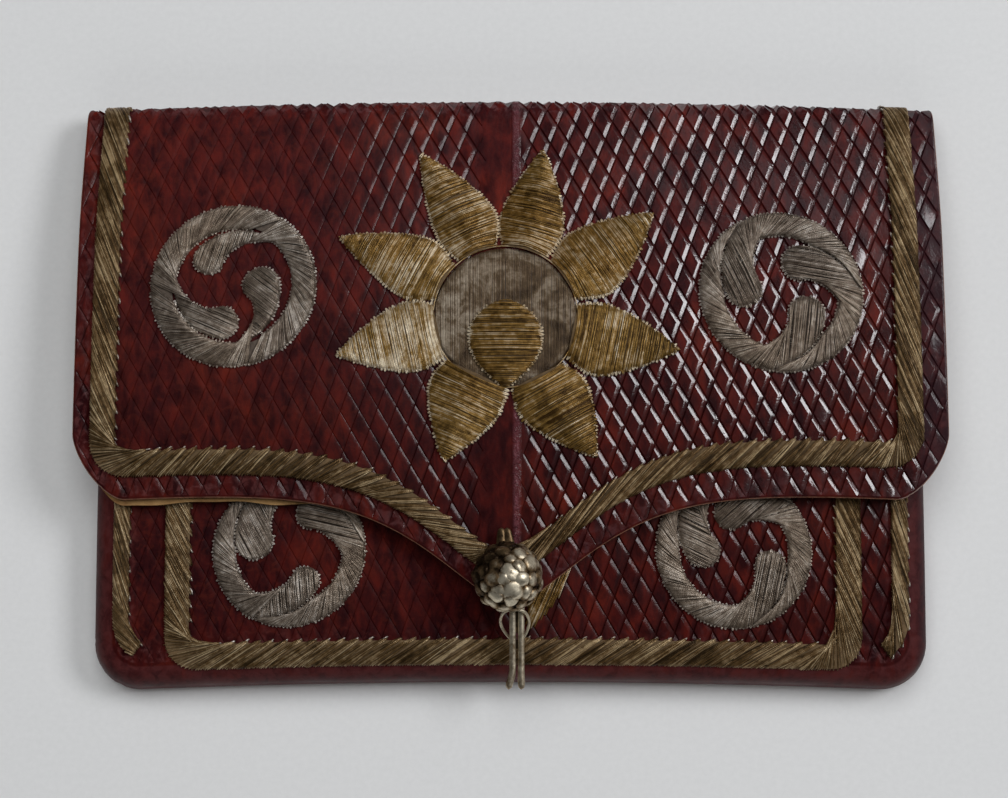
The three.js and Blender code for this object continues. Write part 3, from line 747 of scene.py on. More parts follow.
EDGE_PROFILE = [(0.30, -0.10, 0.35), (0.46, -0.32, 1.0), (0.5, -0.6, 1.0), (0.46, -1.3, 1.0),
                (0.2, -1.58, 0.6), (-0.7, -1.61, 0.0)]


def inset(distance, amount):
    return lambda x, v: distance(x, v) - amount


# %% Cover
def make_cover():
    low, high = (-84.0, -99.0), (84.0, TO_FOLD_END + 1.0)
    edge = inset(cover_distance, ROUND)
    top, flat = pressed_sheet(on_cover, edge, cover_pressing, low, high, 11)
    rim = turned_edge(on_cover, edge, top, flat, EDGE_PROFILE)
    under = plain_underside(on_cover, edge, LEATHER, low, high)
    return make_piece("wallet_cover", [top, rim, under], [leather], ["cover"], crisp=True)


make_cover()

# %% [markdown]
# The pocket's front is a shallow tray: its sides and bottom edge roll down to the back, and its mouth stays
# open under the flap. The field is pressed like the cover; the rolled edges are smooth and are built as
# rings that follow the field's rim.

# %% Outline of the front panel
def front_field(x, y):
    side = FRONT_HALF_WIDTH - np.abs(x)
    body = rounded(side, y - BODY_BOTTOM, BODY_CORNER, BODY_CORNER, 2.0) * BODY_CORNER
    return np.minimum(body, MOUTH_Y - y)


front_distance = even_distance(front_field)


def front_pressing(x, y):
    return 0.34 * mix(0.5, 1.0, ease(x, -20.0, 35.0)) * ease(y, -54.5, -52.0)


middle_inside = front_distance(np.array([0.0]), np.array([-20.0]))
print("front panel's middle lies", round(float(middle_inside[0]), 1), "mm in")


# %% Front panel
def make_front():
    low, high = (-80.0, -57.0), (80.0, MOUTH_Y + 1.0)
    field_edge = inset(front_distance, ROLL)
    top, flat = pressed_sheet(on_front, field_edge, front_pressing, low, high, 23)
    top["marks"]["matt"] = np.full(len(flat), 0.45)
    loop = rim_of(top["faces"])
    rim = flat[loop]
    outward = -slope_of(field_edge, rim)
    outward[rim[:, 1] > MOUTH_Y - ROLL - 0.3] = (0.0, 1.0)
    at_mouth = outward[:, 1] > 0.5
    rings = [top["points"][loop]]
    for angle in np.linspace(0.0, math.pi / 2, 9)[1:]:
        moved = rim + outward * ROLL * math.sin(angle)
        ring = on_front(moved[:, 0], moved[:, 1], 0.0)
        fall = ROLL * (1.0 - math.cos(angle))
        ring[:, 2] = rings[0][:, 2] - np.where(at_mouth, 0.2 * math.sin(angle), fall) * MM
        rings.append(ring)
    foot = rings[-1].copy()
    foot[:, 2] = np.where(at_mouth, foot[:, 2] - LEATHER * MM, (LEATHER + GAP) * MM)
    middle = 0.5 * (rings[-1] + foot)
    middle[:, :2] += outward * 0.35 * MM
    inner = foot.copy()
    inner[:, :2] -= outward * LEATHER * MM
    rings += [middle, foot, inner]
    matt = np.concatenate([np.zeros(len(loop)), np.ones((len(rings) - 1) * len(loop))])
    roll = {"points": np.concatenate(rings), "faces": ring_faces(len(loop), len(rings)),
            "marks": {"matt": matt}}
    under = plain_underside(on_front, field_edge, LEATHER, low, high)
    return make_piece("front_panel_leather", [top, roll, under], [leather], ["front_panel"],
                      crisp=True)


make_front()

# %% [markdown]
# Under the flap lies a thin facing of tan leather. Only its edge shows, as a pale strip that peeps out below
# the flap's lower left edge. It is a plain sheet in strips across the flap.

# %% Lining
TAN = [(0.3, (0.22, 0.11, 0.04)), (0.55, (0.42, 0.25, 0.10)), (0.75, (0.54, 0.35, 0.16))]
tan_leather = matt_finish("tan_leather", TAN, (150.0, 5.0, 0.65), 0.8, (3000.0, 4.0, 0.7), 0.4)


def flap_edge(x):
    reach = np.abs(x)
    into = np.clip((reach - FLAP_HALF_WIDTH + CORNER[0]) / CORNER[0], 0.0, 1.0)
    cut = 1.0 - (1.0 - into ** 1.5) ** (1.0 / 1.5)
    return FLAP_EDGE_Y - swoop(x) + CORNER[1] * cut


def lining_edge(x):
    peep = ease(x, -83.0, -74.0) * (1.0 - ease(x, -46.0, -30.0))
    uneven = 0.25 * np.sin(x / 5.0) * peep + 0.1 * np.sin(x / 1.7) * peep
    return flap_edge(x) + 1.2 - 2.0 * peep + uneven


def make_lining():
    shares = np.sin(np.linspace(-1.0, 1.0, 161) * math.pi / 2) * 0.5 + np.linspace(-1.0, 1.0, 161) * 0.5
    rows = np.linspace(0.0, 1.0, 40)
    x = shares * (FLAP_HALF_WIDTH - 1.2)
    bottom = v_of(lining_edge(x))
    v = mix(v_of(47.0), bottom[:, None], rows[None, :])
    across = shares[:, None] * (cover_half_width(v) - 1.2)
    under = LEATHER + GAP
    top = on_cover(across, v, -under)
    low = on_cover(across, v, -under - LINING)
    ids = np.arange(top[..., 0].size).reshape(top.shape[:2])
    quads = np.stack([ids[:-1, :-1], ids[:-1, 1:], ids[1:, 1:], ids[1:, :-1]], -1).reshape(-1, 4)[:, ::-1]
    rim = np.concatenate([ids[:, 0][::-1][:-1], ids[0, :][:-1], ids[:, -1][:-1], ids[-1, :][::-1][:-1]])
    ring = np.concatenate([rim, rim + ids.size])
    walls = [[ring[a] for a in face] for face in ring_faces(len(rim), 2)]
    sheet = {"points": np.concatenate([top.reshape(-1, 3), low.reshape(-1, 3)]),
             "faces": quads.tolist() + (quads + ids.size)[:, ::-1].tolist() + walls}
    return make_piece("tan_lining", [sheet], [tan_leather], ["flap_lining"])


make_lining()

# %% [markdown]
# The thread work is laid thread by thread. A thread runs from one edge of a shape to the other, rises over
# the card that pads it and dives into the leather at both ends. One function turns two edges into a row of
# such threads; every petal, ring, arm and border below is only a different pair of edges. Curves with a
# bevel would do for one thread, but thousands of them are quicker as one mesh built from arrays.

# %% Threads as tubes
TIMES = np.array([0.0, 0.035, 0.1, 0.24, 0.38, 0.5, 0.62, 0.76, 0.9, 0.965, 1.0])
SIDES = 4
THREAD = 0.125
THREAD_STEP = 0.21
WINDING = 0.34
TURNS = np.linspace(-math.pi / 2, 1.5 * math.pi, SIDES, endpoint=False)


def unit(vectors):
    return vectors / np.maximum(np.linalg.norm(vectors, axis=-1, keepdims=True), 1e-12)


def tube_faces(count, stations, sides):
    thread, station, side = np.indices((count, stations - 1, sides))
    base = (thread * stations + station) * sides
    after = (side + 1) % sides
    faces = np.stack([base + side, base + sides + side, base + sides + after, base + after], -1)
    return faces.reshape(-1, 4).tolist()


def thread_tubes(flat, height, radius, shade, place, finish=0):
    middle = place(flat[..., 0], flat[..., 1], height)
    above = unit(place(flat[..., 0], flat[..., 1], height + 0.5) - middle)
    along = unit(np.gradient(middle, axis=1))
    aside = unit(np.cross(along, above))
    above = np.cross(aside, along)
    ring = np.cos(TURNS)[:, None] * aside[:, :, None] + np.sin(TURNS)[:, None] * above[:, :, None]
    points = middle[:, :, None] + ring * (radius * MM)[:, None, None, None]
    length = np.linalg.norm(np.diff(middle, axis=1), axis=-1).cumsum(1) / MM
    length = np.pad(length, ((0, 0), (1, 0)))
    wrap = length[:, :, None] / WINDING + (TURNS / (2 * math.pi))[None, None, :]
    shades = np.broadcast_to(shade[:, :, None], wrap.shape)
    count, stations = flat.shape[:2]
    return {"points": points.reshape(-1, 3), "faces": tube_faces(count, stations, SIDES), "finish": finish,
            "marks": {"wrap": wrap.ravel(), "shade": shades.ravel()}}


print("a thread has", 2 * SIDES * (len(TIMES) - 1), "triangles")


# %% Rows of threads between two edges
def rail_at(rail, where, steps):
    return pairs(np.interp(where, steps, rail[:, 0]), np.interp(where, steps, rail[:, 1]))


def along_rail(rail, where):
    return rail_at(rail, where, np.linspace(0.0, 1.0, len(rail)))


def run_lengths(rail):
    return np.pad(np.linalg.norm(np.diff(rail, axis=0), axis=1).cumsum(), (1, 0))


def arch(times, power=4.0):
    return np.maximum(0.0, 1.0 - np.abs(2.0 * times - 1.0) ** power) ** (1.0 / power)


def row_of_threads(first, second, place, crown, radius, seed, fringe=0.1, bend=0.08, rib=0.0, bulge=0.0,
                   tone=0.5, vary=0.13, finish=0, climb=0.3):
    draw = np.random.default_rng(seed)
    count = len(first)
    first, second = (edge + draw.normal(0.0, 0.035, edge.shape) for edge in (first, second))
    span = unit(second - first)
    first = first - span * np.abs(draw.normal(0.0, fringe, (count, 1)))
    second = second + span * np.abs(draw.normal(0.0, fringe, (count, 1)))
    across = pairs(-span[:, 1], span[:, 0])
    sway = bulge + draw.normal(0.0, bend, count)
    flat = mix(first[:, None], second[:, None], TIMES[None, :, None])
    flat = flat + across[:, None] * (sway[:, None] * np.sin(TIMES * math.pi))[..., None]
    length = np.linalg.norm(second - first, axis=1)
    top = np.minimum(crown, 0.12 + climb * length) + draw.normal(0.0, 0.025, count)
    height = -0.12 + (top[:, None] + 0.12) * arch(TIMES)
    height = height + rib * rib_shape(TIMES) * np.minimum(1.0, length / 9.0)[:, None]
    shade = np.reshape(tone, (-1, 1)) + draw.normal(0.0, vary, (count, 1))
    shade = shade + draw.normal(0.0, 0.5 * vary, (count, len(TIMES)))
    thick = radius * draw.uniform(0.86, 1.1, count)
    return thread_tubes(flat, height, thick, np.clip(shade, 0.0, 1.0), place, finish)


def rib_shape(share):
    return (1.0 - np.abs(2.0 * share - 1.0)) ** 1.2


def along_length(rail, spacing):
    steps = run_lengths(rail)
    return rail_at(rail, np.arange(0.1, steps[-1] - 0.05, spacing), steps)


LOOP_SHARES = np.array([0.0, 0.02, 0.22, 0.5, 0.78, 0.98, 1.0])
LOOP_PUSH = np.array([-0.5, -0.12, 0.2, 0.3, 0.2, -0.12, -0.5])
LOOP_HEIGHT = np.array([0.56, 0.5, 0.34, 0.26, 0.34, 0.5, 0.56])


def edge_loops(rail, side, place, radius, seed, tone=0.92):
    draw = np.random.default_rng(seed)
    at = along_length(rail, 0.34)
    heading = unit(np.gradient(at, axis=0))
    out = side * pairs(-heading[:, 1], heading[:, 0])
    count = len(at) // 2
    kept = draw.uniform(size=count) > 0.1
    here, after, out = at[0:2 * count:2][kept], at[1:2 * count:2][kept], out[0:2 * count:2][kept]
    count = len(here)
    push = LOOP_PUSH * draw.uniform(0.3, 1.6, (count, 1))
    flat = mix(here[:, None], after[:, None], LOOP_SHARES[None, :, None]) + out[:, None] * push[..., None]
    height = LOOP_HEIGHT * draw.uniform(0.7, 1.2, (count, 1))
    shade = draw.normal(tone, 0.2, (count, 1)) + np.zeros(len(LOOP_SHARES))
    thick = radius * draw.uniform(0.7, 1.1, count)
    return thread_tubes(flat, height, thick, np.clip(shade, 0.0, 1.0), place)


def card_between(first, second, place, crown, finish=1, rib=0.0):
    share = np.linspace(0.03, 0.97, 9)
    flat = mix(first[:, None], second[:, None], share[None, :, None])
    length = np.linalg.norm(second - first, axis=1)
    top = np.minimum(crown, 0.1 + 0.26 * length)
    height = top[:, None] * arch(share, 5.0) + rib * rib_shape(share) * np.minimum(1.0, length / 9.0)[:, None]
    points = place(flat[..., 0], flat[..., 1], height)
    ids = np.arange(points[..., 0].size).reshape(points.shape[:2])
    return {"points": points.reshape(-1, 3), "faces": grid_quads(ids).tolist(), "finish": finish}


def even_count(rail, spacing):
    return int(np.linalg.norm(np.diff(rail, axis=0), axis=1).sum() / spacing)


print("threads can be laid between any two edges")

# %% [markdown]
# Each thread is a silk core wound with a flat metal strip, long since tarnished: brown in the hollows, pale
# where it still rubs. The winding is a tiny bump that runs round the thread; shade numbers on the mesh make
# neighbours differ, and slow noise makes patches of tarnish. Under the threads the card shows dark tan, kept
# near the threads' darkest tone so that gaps between threads read as painted shade.

# %% Thread finishes
def wound_metal(name, dark, middle, pale, patch_tint, metallic, patches=0.16):
    finish, tree, shader, where = new_finish(name)
    tarnish = noise(tree, where, 160.0, 4.0, 0.6, 0.6)
    fine = noise(tree, where, 950.0, 3.0, 0.6)
    shade = sum_of(tree, mark(tree, "shade"), spread(tree, tarnish, 0.3, 0.7, -patches, patches))
    shade = sum_of(tree, shade, spread(tree, fine, 0.3, 0.7, -0.12, 0.12))
    metal = ramp(tree, shade, [(0.1, dark), (0.5, middle), (0.95, pale)])
    slow = noise(tree, where, 48.0, 3.0, 0.5)
    colour = blend(tree, spread(tree, slow, 0.38, 0.66, 0.0, 0.6), metal, (*patch_tint, 1.0), "MULTIPLY")
    tree.links.new(colour, shader.inputs["Base Color"])
    shader.inputs["Metallic"].default_value = metallic
    tree.links.new(spread(tree, tarnish, 0.3, 0.7, 0.3, 0.44), shader.inputs["Roughness"])
    wrap = times(tree, mark(tree, "wrap"), 2.0 * math.pi)
    winding = sum_of(tree, wrap, 0.0, "SINE")
    raise_bump(tree, shader, [(winding, 0.35, 0.00004)])
    return finish


def card_finish(name, dark, pale):
    fibre = (900.0, 5.0, 0.7)
    return matt_finish(name, [(0.3, dark), (0.7, pale)], fibre, 0.85, fibre, 0.3)


gold = wound_metal("gold_thread", (0.08, 0.040, 0.010), (0.40, 0.24, 0.065), (1.0, 0.89, 0.69),
                   (0.75, 0.64, 0.5), 0.62)
silver = wound_metal("silver_thread", (0.11, 0.077, 0.055), (0.36, 0.295, 0.236), (0.88, 0.81, 0.73),
                     (0.86, 0.78, 0.68), 0.7)
dull_silver = wound_metal("disc_thread", (0.066, 0.041, 0.022), (0.168, 0.115, 0.066), (0.46, 0.39, 0.30),
                          (0.88, 0.82, 0.76), 0.5, patches=0.34)
border_gold = wound_metal("border_thread", (0.045, 0.025, 0.009), (0.19, 0.112, 0.044), (0.62, 0.48, 0.29),
                          (0.8, 0.72, 0.6), 0.6)
# Painted shade: both cards are kept near the threads' darkest tone, so gaps between threads read as shadow.
card = card_finish("padding_card_and_shade", (0.07, 0.043, 0.02), (0.15, 0.095, 0.045))
grey_card_and_shade = card_finish("grey_card_and_shade", (0.05, 0.037, 0.028), (0.12, 0.092, 0.072))
print("thread finishes:", gold.name, silver.name, border_gold.name, card.name)

# %% [markdown]
# The flower has eight pointed petals round a silver disc. Threads cross each petal from edge to edge, a
# little roofed along the middle, and the threads next to the disc bend round its rim.

# %% Petals
FLOWER = (-1.0, 12.5)
DISC = 13.9
# The last number of each row is the petal's tone: lower on the fourth to sixth petals as painted shade,
# higher on the seventh as a painted highlight.
PETALS = [
    (116.6, 36.6, (3.0, 4.7), (4.6, 7.5), 0.5), (77.6, 34.3, (3.6, 5.2), (5.1, 7.2), 0.45),
    (36.0, 35.3, (3.8, 6.0), (5.1, 8.0), 0.5), (-10.5, 33.7, (4.9, 5.9), (5.6, 8.1), 0.4),
    (-57.5, 32.0, (4.2, 6.1), (6.5, 8.0), 0.33), (-112.8, 30.2, (5.9, 6.3), (7.2, 8.4), 0.42),
    (-167.4, 33.1, (5.2, 6.6), (5.4, 7.0), 0.68), (153.3, 35.7, (3.2, 5.3), (4.6, 7.2), 0.5),
]
PADDED_TOP = 1.0


def petal_width(u, foot, belly):
    base = mix(foot, belly, np.sin(np.minimum(u / 0.27, 1.0) * math.pi / 2))
    taper = belly * (1.0 - (np.maximum(u - 0.27, 0.0) / 0.73) ** 1.5)
    return np.where(u < 0.27, base, taper)


def petal_edges(angle, tip, ahead, behind, stations):
    u = np.linspace(0.0, 1.0, stations)
    turn = math.radians(angle)
    edges = []
    for side, halves in ((-1, behind), (1, ahead)):
        aside = side * petal_width(u, *halves)
        start = math.sqrt((DISC + 0.25) ** 2 - halves[0] ** 2)
        out = mix(start, tip, u)
        x = FLOWER[0] + out * math.cos(turn) - aside * math.sin(turn)
        y = FLOWER[1] + out * math.sin(turn) + aside * math.cos(turn)
        edges.append(pairs(x, y))
    return edges, -0.6 * np.maximum(0.0, 1.0 - u / 0.2)


def make_petal(index, row):
    *shape, tone = row
    (first, second), _ = petal_edges(*shape, 200)
    sides = ((first, -1), (second, 1))
    loops = [edge_loops(rail, side, on_flap, 0.145, 170 + index) for rail, side in sides]
    (first, second), bulge = petal_edges(*shape, even_count(first, 0.22))
    threads = row_of_threads(first, second, on_flap, 0.9, 0.13, 100 + index, rib=0.8, bulge=bulge, tone=tone,
                             vary=0.125)
    padding = card_between(first, second, on_flap, 0.66, rib=0.78)
    return make_piece(f"petal_{index}", [threads, padding, *loops], [gold, card],
                      [f"flower_petal_{index}"])


for number, row in enumerate(PETALS, 1):
    make_petal(number, row)

# %% [markdown]
# The disc is finer silver thread laid straight up and down, with a thin cord couched round its rim. On it
# sits a drop of gold thread laid from side to side.

# %% Disc
def ring_cord(centre, radius, height, thick, place, finish):
    angles = np.linspace(0.0, 2 * math.pi, 181)
    flat = pairs(centre[0] + radius * np.cos(angles), centre[1] + radius * np.sin(angles))[None]
    shade = np.full((1, len(angles)), 0.6)
    return thread_tubes(flat, np.full((1, len(angles)), height), np.array([thick]), shade, place, finish)


def make_disc():
    reach = DISC - 0.4
    across = np.arange(-reach + 0.25, reach - 0.2, 0.17)
    half = np.sqrt(reach ** 2 - across ** 2)
    low = pairs(FLOWER[0] + across, FLOWER[1] - half)
    high = pairs(FLOWER[0] + across, FLOWER[1] + half)
    threads = row_of_threads(low, high, on_flap, 0.72, 0.115, 150, fringe=0.02, bend=0.06, tone=0.5,
                             vary=0.05)
    padding = card_between(low, high, on_flap, 0.66)
    cord = ring_cord(FLOWER, DISC - 0.1, 0.62, 0.15, on_flap, 2)
    return make_piece("silver_disc", [threads, padding, cord], [dull_silver, grey_card_and_shade, gold],
                      ["flower_disc"])


make_disc()


# %% Drop
DROP_TIP_Y = -1.3
DROP_HALVES = np.array([(0.0, 0.0), (0.6, 1.2), (1.7, 2.55), (3.4, 4.25), (5.5, 5.9), (7.5, 6.8), (9.3, 7.05),
                        (11.5, 6.8), (13.5, 5.75), (15.2, 4.1), (16.3, 2.3), (16.8, 0.0)])


def drop_edges(spacing):
    above = np.arange(0.2, 16.7, spacing)
    half = np.interp(above, *DROP_HALVES.T)
    return [pairs(FLOWER[0] + side * half, DROP_TIP_Y + above) for side in (-1, 1)]


def lifted(place, lift):
    return lambda x, y, height: place(x, y, height + lift)


def make_drop():
    left, right = drop_edges(0.23)
    raised = lifted(on_flap, 0.7)
    threads = row_of_threads(left, right, raised, 0.9, 0.135, 160, rib=0.3, tone=0.38)
    padding = card_between(left, right, raised, 0.68, rib=0.28)
    loops = [edge_loops(rail, side, raised, 0.12, 165) for rail, side in ((left, 1), (right, -1))]
    return make_piece("gold_drop", [threads, padding, *loops], [gold, card], ["flower_drop"])


make_drop()

# %% [markdown]
# A roundel is a ring with three comma arms that leave it and curl inwards. The ring's threads lean, their
# outer ends shifted clockwise, and reach over the foot of each arm; further on a dark slit parts the arm
# from the ring. The arm itself is filled with straight threads in one direction.

# %% Roundels
SLIM_ARM = (80.0, 0.72, 0.02, 58.0)
FULL_ARM = (60.0, 0.86, 0.15, 36.0)
ROUNDELS = [
    ("flap_roundel_left", on_flap, (-53.1, 19.4), 15.8, SLIM_ARM, 0.47,
     [(131.0, 0.457, 0.19, 72.0), (-1.6, 0.339, 0.225, 142.0), (253.4, 0.476, 0.2, 155.0)]),
    ("flap_roundel_right", on_flap, (51.8, 18.1), 15.6, FULL_ARM, 0.42,
     [(177.0, 0.463, 0.22, 115.0), (58.4, 0.435, 0.215, 172.0), (318.7, 0.408, 0.225, 83.0)]),
    ("front_roundel_left", on_front, (-42.1, -31.4), 14.4, FULL_ARM, 0.47,
     [(162.3, 0.482, 0.25, 118.0), (297.8, 0.459, 0.187, 95.0), (58.9, 0.56, 0.2, 166.0)]),
    ("front_roundel_right", on_front, (42.4, -31.4), 14.7, FULL_ARM, 0.47,
     [(180.7, 0.4, 0.22, 155.0), (94.2, 0.479, 0.207, 42.0), (337.7, 0.509, 0.2, 78.0)]),
]
BAND = 0.285
RING_LEAN = 19.0
SLIT = 0.45


def lag_behind(degrees, head):
    return (degrees - head + 180.0) % 360.0 - 180.0


def pointing(angle):
    return pairs(np.cos(angle), np.sin(angle))


def arm_rails(centre, radius, arm, head, reach, width):
    sweep, root, root_width, _ = arm
    t = np.linspace(0.0, 1.0, 80)
    angle = np.radians(head - sweep * (1.0 - t))
    spine = centre + (radius * mix(root, reach, t ** 0.85))[:, None] * pointing(angle)
    heading = np.arctan2(*np.gradient(spine, axis=0).T[::-1])
    half = radius * mix(root_width, width, t)
    rails = []
    for side in (-1, 1):
        turn = heading + side * math.pi / 2
        edge = spine + half[:, None] * pointing(turn)
        close = heading[-1] + side * np.linspace(math.pi / 2, 0.0, 24)[1:]
        cap = spine[-1] + half[-1] * pointing(close)
        rails.append(np.concatenate([edge, cap]))
    return rails


def ring_inside(angles, centre, radius, arm, arms):
    inside = np.full(len(angles), radius * (1.0 - BAND))
    for head, (outer, inner) in arms:
        lag = lag_behind(np.degrees(angles), head)
        lags, reach = [], []
        for rail in (outer, inner[:80]):
            away = rail - centre
            lags.append(lag_behind(np.degrees(np.arctan2(away[:, 1], away[:, 0])), head))
            reach.append(np.hypot(away[:, 0], away[:, 1]))
        last = np.argmax(lags[0]) + 1
        slit = np.interp(lag, lags[0][:last], reach[0][:last], left=0.0, right=0.0) + SLIT
        foot = np.interp(lag, lags[1], reach[1], left=radius, right=radius)
        parted = np.maximum(inside, np.minimum(slit, 0.9 * radius))
        inside = np.where(lag > -arm[3], parted, np.minimum(inside, foot))
    return inside


def around_ring(centre, radius, angles):
    return centre + np.asarray(radius)[..., None] * pointing(angles)


def hatch(outline, degrees, spacing):
    turn = math.radians(degrees)
    along, across = np.array([math.cos(turn), math.sin(turn)]), np.array([-math.sin(turn), math.cos(turn)])
    here = pairs(outline @ along, outline @ across)
    after = np.roll(here, -1, 0)
    low, high = here[:, 1].min(), here[:, 1].max()
    starts, ends, shares = [], [], []
    for row in np.arange(low + 0.5 * spacing, high, spacing):
        cut = (here[:, 1] - row) * (after[:, 1] - row) < 0.0
        share = (row - here[cut, 1]) / (after[cut, 1] - here[cut, 1])
        hits = np.sort(mix(here[cut, 0], after[cut, 0], share))
        for start, end in zip(hits[::2], hits[1::2]):
            if end - start > 0.6:
                starts.append(start * along + row * across)
                ends.append(end * along + row * across)
                shares.append((row - low) / (high - low))
    return np.array(starts), np.array(ends), np.array(shares)


def make_roundel(index, row):
    name, place, centre, radius, arm, tone, heads = row
    arms = [(head[0], arm_rails(centre, radius, arm, *head[:3])) for head in heads]
    angles = np.linspace(0.0, 2 * math.pi, int(2 * math.pi * radius * (1 - BAND / 2) / THREAD_STEP))
    lean = math.radians(RING_LEAN) / 2
    outer = around_ring(centre, np.full(len(angles), radius), angles - lean)
    inner = around_ring(centre, ring_inside(angles + lean, centre, radius, arm, arms), angles + lean)
    shapes = [row_of_threads(outer, inner, place, PADDED_TOP, THREAD, 200 + index, tone=tone, vary=0.1)]
    base = np.maximum(radius * (1.0 - BAND), np.linalg.norm(inner - centre, axis=1))
    bottom = around_ring(centre, base, angles + lean)
    shapes.append(card_between(mix(outer, bottom, 0.1), mix(outer, bottom, 0.9), place, PADDED_TOP - 0.4))
    even = np.linspace(0.0, 2 * math.pi, 300)
    rim = around_ring(centre, np.full(len(even), radius), even)
    hole = around_ring(centre, ring_inside(even, centre, radius, arm, arms), even)
    shapes += [edge_loops(rim, -1, place, 0.11, 240 + index), edge_loops(hole, 1, place, 0.11, 250 + index)]
    for number, (head, (right, left)) in enumerate(arms):
        seed = 300 + 10 * index + number
        low, high, share = hatch(np.concatenate([right, left[::-1]]), heads[number][3], THREAD_STEP)
        away = 0.5 * (low + high) - centre
        lag = lag_behind(np.degrees(np.arctan2(away[:, 1], away[:, 0])), head)
        crown = 1.05 * np.maximum(0.55, arch(share)) * mix(0.8, 1.0, ease(lag, -arm[3] - 10.0, 6.0 - arm[3]))
        shapes.append(row_of_threads(low, high, place, crown, THREAD, seed, fringe=0.08, bend=0.12, tone=tone,
                                     vary=0.1))
        shapes.append(card_between(right, left, place, 0.15))
        for rail, side in ((right, -1), (left, 1)):
            shapes.append(edge_loops(rail[30:], side, place, 0.11, seed + 5))
    return make_piece(f"{name}_threads", shapes, [silver, grey_card_and_shade], [name])


for number, row in enumerate(ROUNDELS):
    make_roundel(number, row)

# %% [markdown]
# The borders are laid in small sheaves: the threads of a sheaf fan out along the outer edge and gather at the
# inner one, where a knot holds them, so the band looks like slanting leaves. Each sheaf is painted darker on
# one side as shade in the gap beside it, and the knot is painted pale as a highlight. The path runs down the
# left, along the bottom and up the right, and lies flat where it passes over the fold.

# %% Flap border
BORDER_WIDTH = 4.9
border_finishes = [border_gold, card, silver]
FLAP_SLANTS = [(0.0, 22.0), (0.2, 22.0), (0.25, 32.0), (0.29, 47.0), (0.36, 43.0), (0.43, 26.0), (0.5, 22.0),
               (0.58, 25.0), (0.66, 38.0), (0.72, 50.0), (0.755, 42.0), (0.8, 21.0), (1.0, 20.0)]
FRONT_SLANTS = [(0.0, 27.0), (0.2, 27.0), (0.27, 33.0), (0.7, 33.0), (0.8, 24.0), (1.0, 24.0)]
EDGE_SLANTS = [(0.0, 17.0), (1.0, 17.0)]


def flap_border_side(side, inset_side, inset_lower, corner=7.0):
    outer_x = FLAP_HALF_WIDTH - inset_side
    lower_y = FLAP_EDGE_Y + inset_lower
    v = np.linspace(6.5, v_of(lower_y + corner), 160)
    narrow = cover_half_width(v) - FLAP_HALF_WIDTH
    limb = [pairs(outer_x - width + narrow, v) for width in (0.0, BORDER_WIDTH)]
    a = np.linspace(0.0, math.pi / 2, 30)[1:-1]
    bend = []
    for reach in (corner, corner - BORDER_WIDTH):
        y = lower_y + corner - reach * np.sin(a)
        bend.append(pairs(outer_x - corner + reach * np.cos(a), v_of(y)))
    x = np.linspace(outer_x - corner, 0.0, 220)
    lift = mix(5.15, inset_lower, ease(x, 0.0, 6.0))
    y = FLAP_EDGE_Y - swoop(x) + lift
    lower = [pairs(x, v_of(y + width)) for width in (0.0, BORDER_WIDTH)]
    rails = [np.concatenate(parts) for parts in zip(limb, bend, lower)]
    return [rail * (side, 1.0) for rail in rails]


def even_rails(first, second):
    length = run_lengths(0.5 * (first + second))
    even = np.linspace(0.0, length[-1], int(length[-1] * 4))
    return rail_at(first, even, length), rail_at(second, even, length), length[-1]


def sheaf_threads(outer, inner, length, slants, place, seed, period=2.7, fan=7, crown=None):
    draw = np.random.default_rng(seed)
    width = np.linalg.norm(outer - inner, axis=1).mean()
    shares, slants = np.array(slants).T
    longest = width / math.tan(math.radians(slants.min()))
    sheaves = int((length + longest) / period) + 1
    number = np.repeat(np.arange(sheaves), fan)
    member = np.tile(np.linspace(-0.5, 0.5, fan), sheaves)
    centre = (number + 0.5) * period - 0.5 * longest + draw.normal(0.0, 0.14, sheaves)[number]
    shift = width / np.tan(np.radians(np.interp(centre / length, shares, slants)))
    low = centre - 0.5 * shift + member * period
    tip = centre + 0.5 * shift + member * 0.45 * period
    start = np.clip(-low / (tip - low), 0.0, 1.0)
    end = np.clip((length - low) / (tip - low), 0.0, 1.0)
    keep = end - start > 0.12
    member, low, tip, start, end = (part[keep] for part in (member, low, tip, start, end))
    first, second = (across_band(outer, inner, mix(low, tip, share) / length, share)
                     for share in (start, end))
    beyond = np.where(end == 1.0, 0.6 * np.maximum(0.0, 1.0 - 2.0 * np.abs(member)), 0.0)
    second = second + unit(second - first) * beyond[:, None]
    top = PADDED_TOP if crown is None else crown(0.5 * (first + second))
    # Painted shade: each sheaf is darker on one side, towards the gap beside it.
    tone = 0.5 + 0.32 * member + draw.normal(0.0, 0.08, sheaves)[number[keep]]
    threads = row_of_threads(first, second, place, top, THREAD, seed + 1, fringe=0.12, bend=0.1, tone=tone,
                             climb=1.2)
    # The knots take a pale tone of the silver finish as a painted highlight.
    middle = (np.abs(member) < 0.12) & (end == 1.0) & (draw.uniform(size=len(member)) > 0.2)
    way = unit(second - first)[middle]
    knots = row_of_threads(second[middle] - 0.9 * way, second[middle] + 0.1 * way, place, 0.5, 0.15, seed + 2,
                           fringe=0.15, tone=0.8, finish=2)
    return [threads, knots]


def across_band(outer, inner, along, share):
    along = np.clip(along, 0.0, 1.0)
    return mix(along_rail(outer, along), along_rail(inner, along), share[:, None])


def fold_crown(places):
    return mix(0.25, PADDED_TOP, ease(-places[:, 1], -2.0, 10.0))


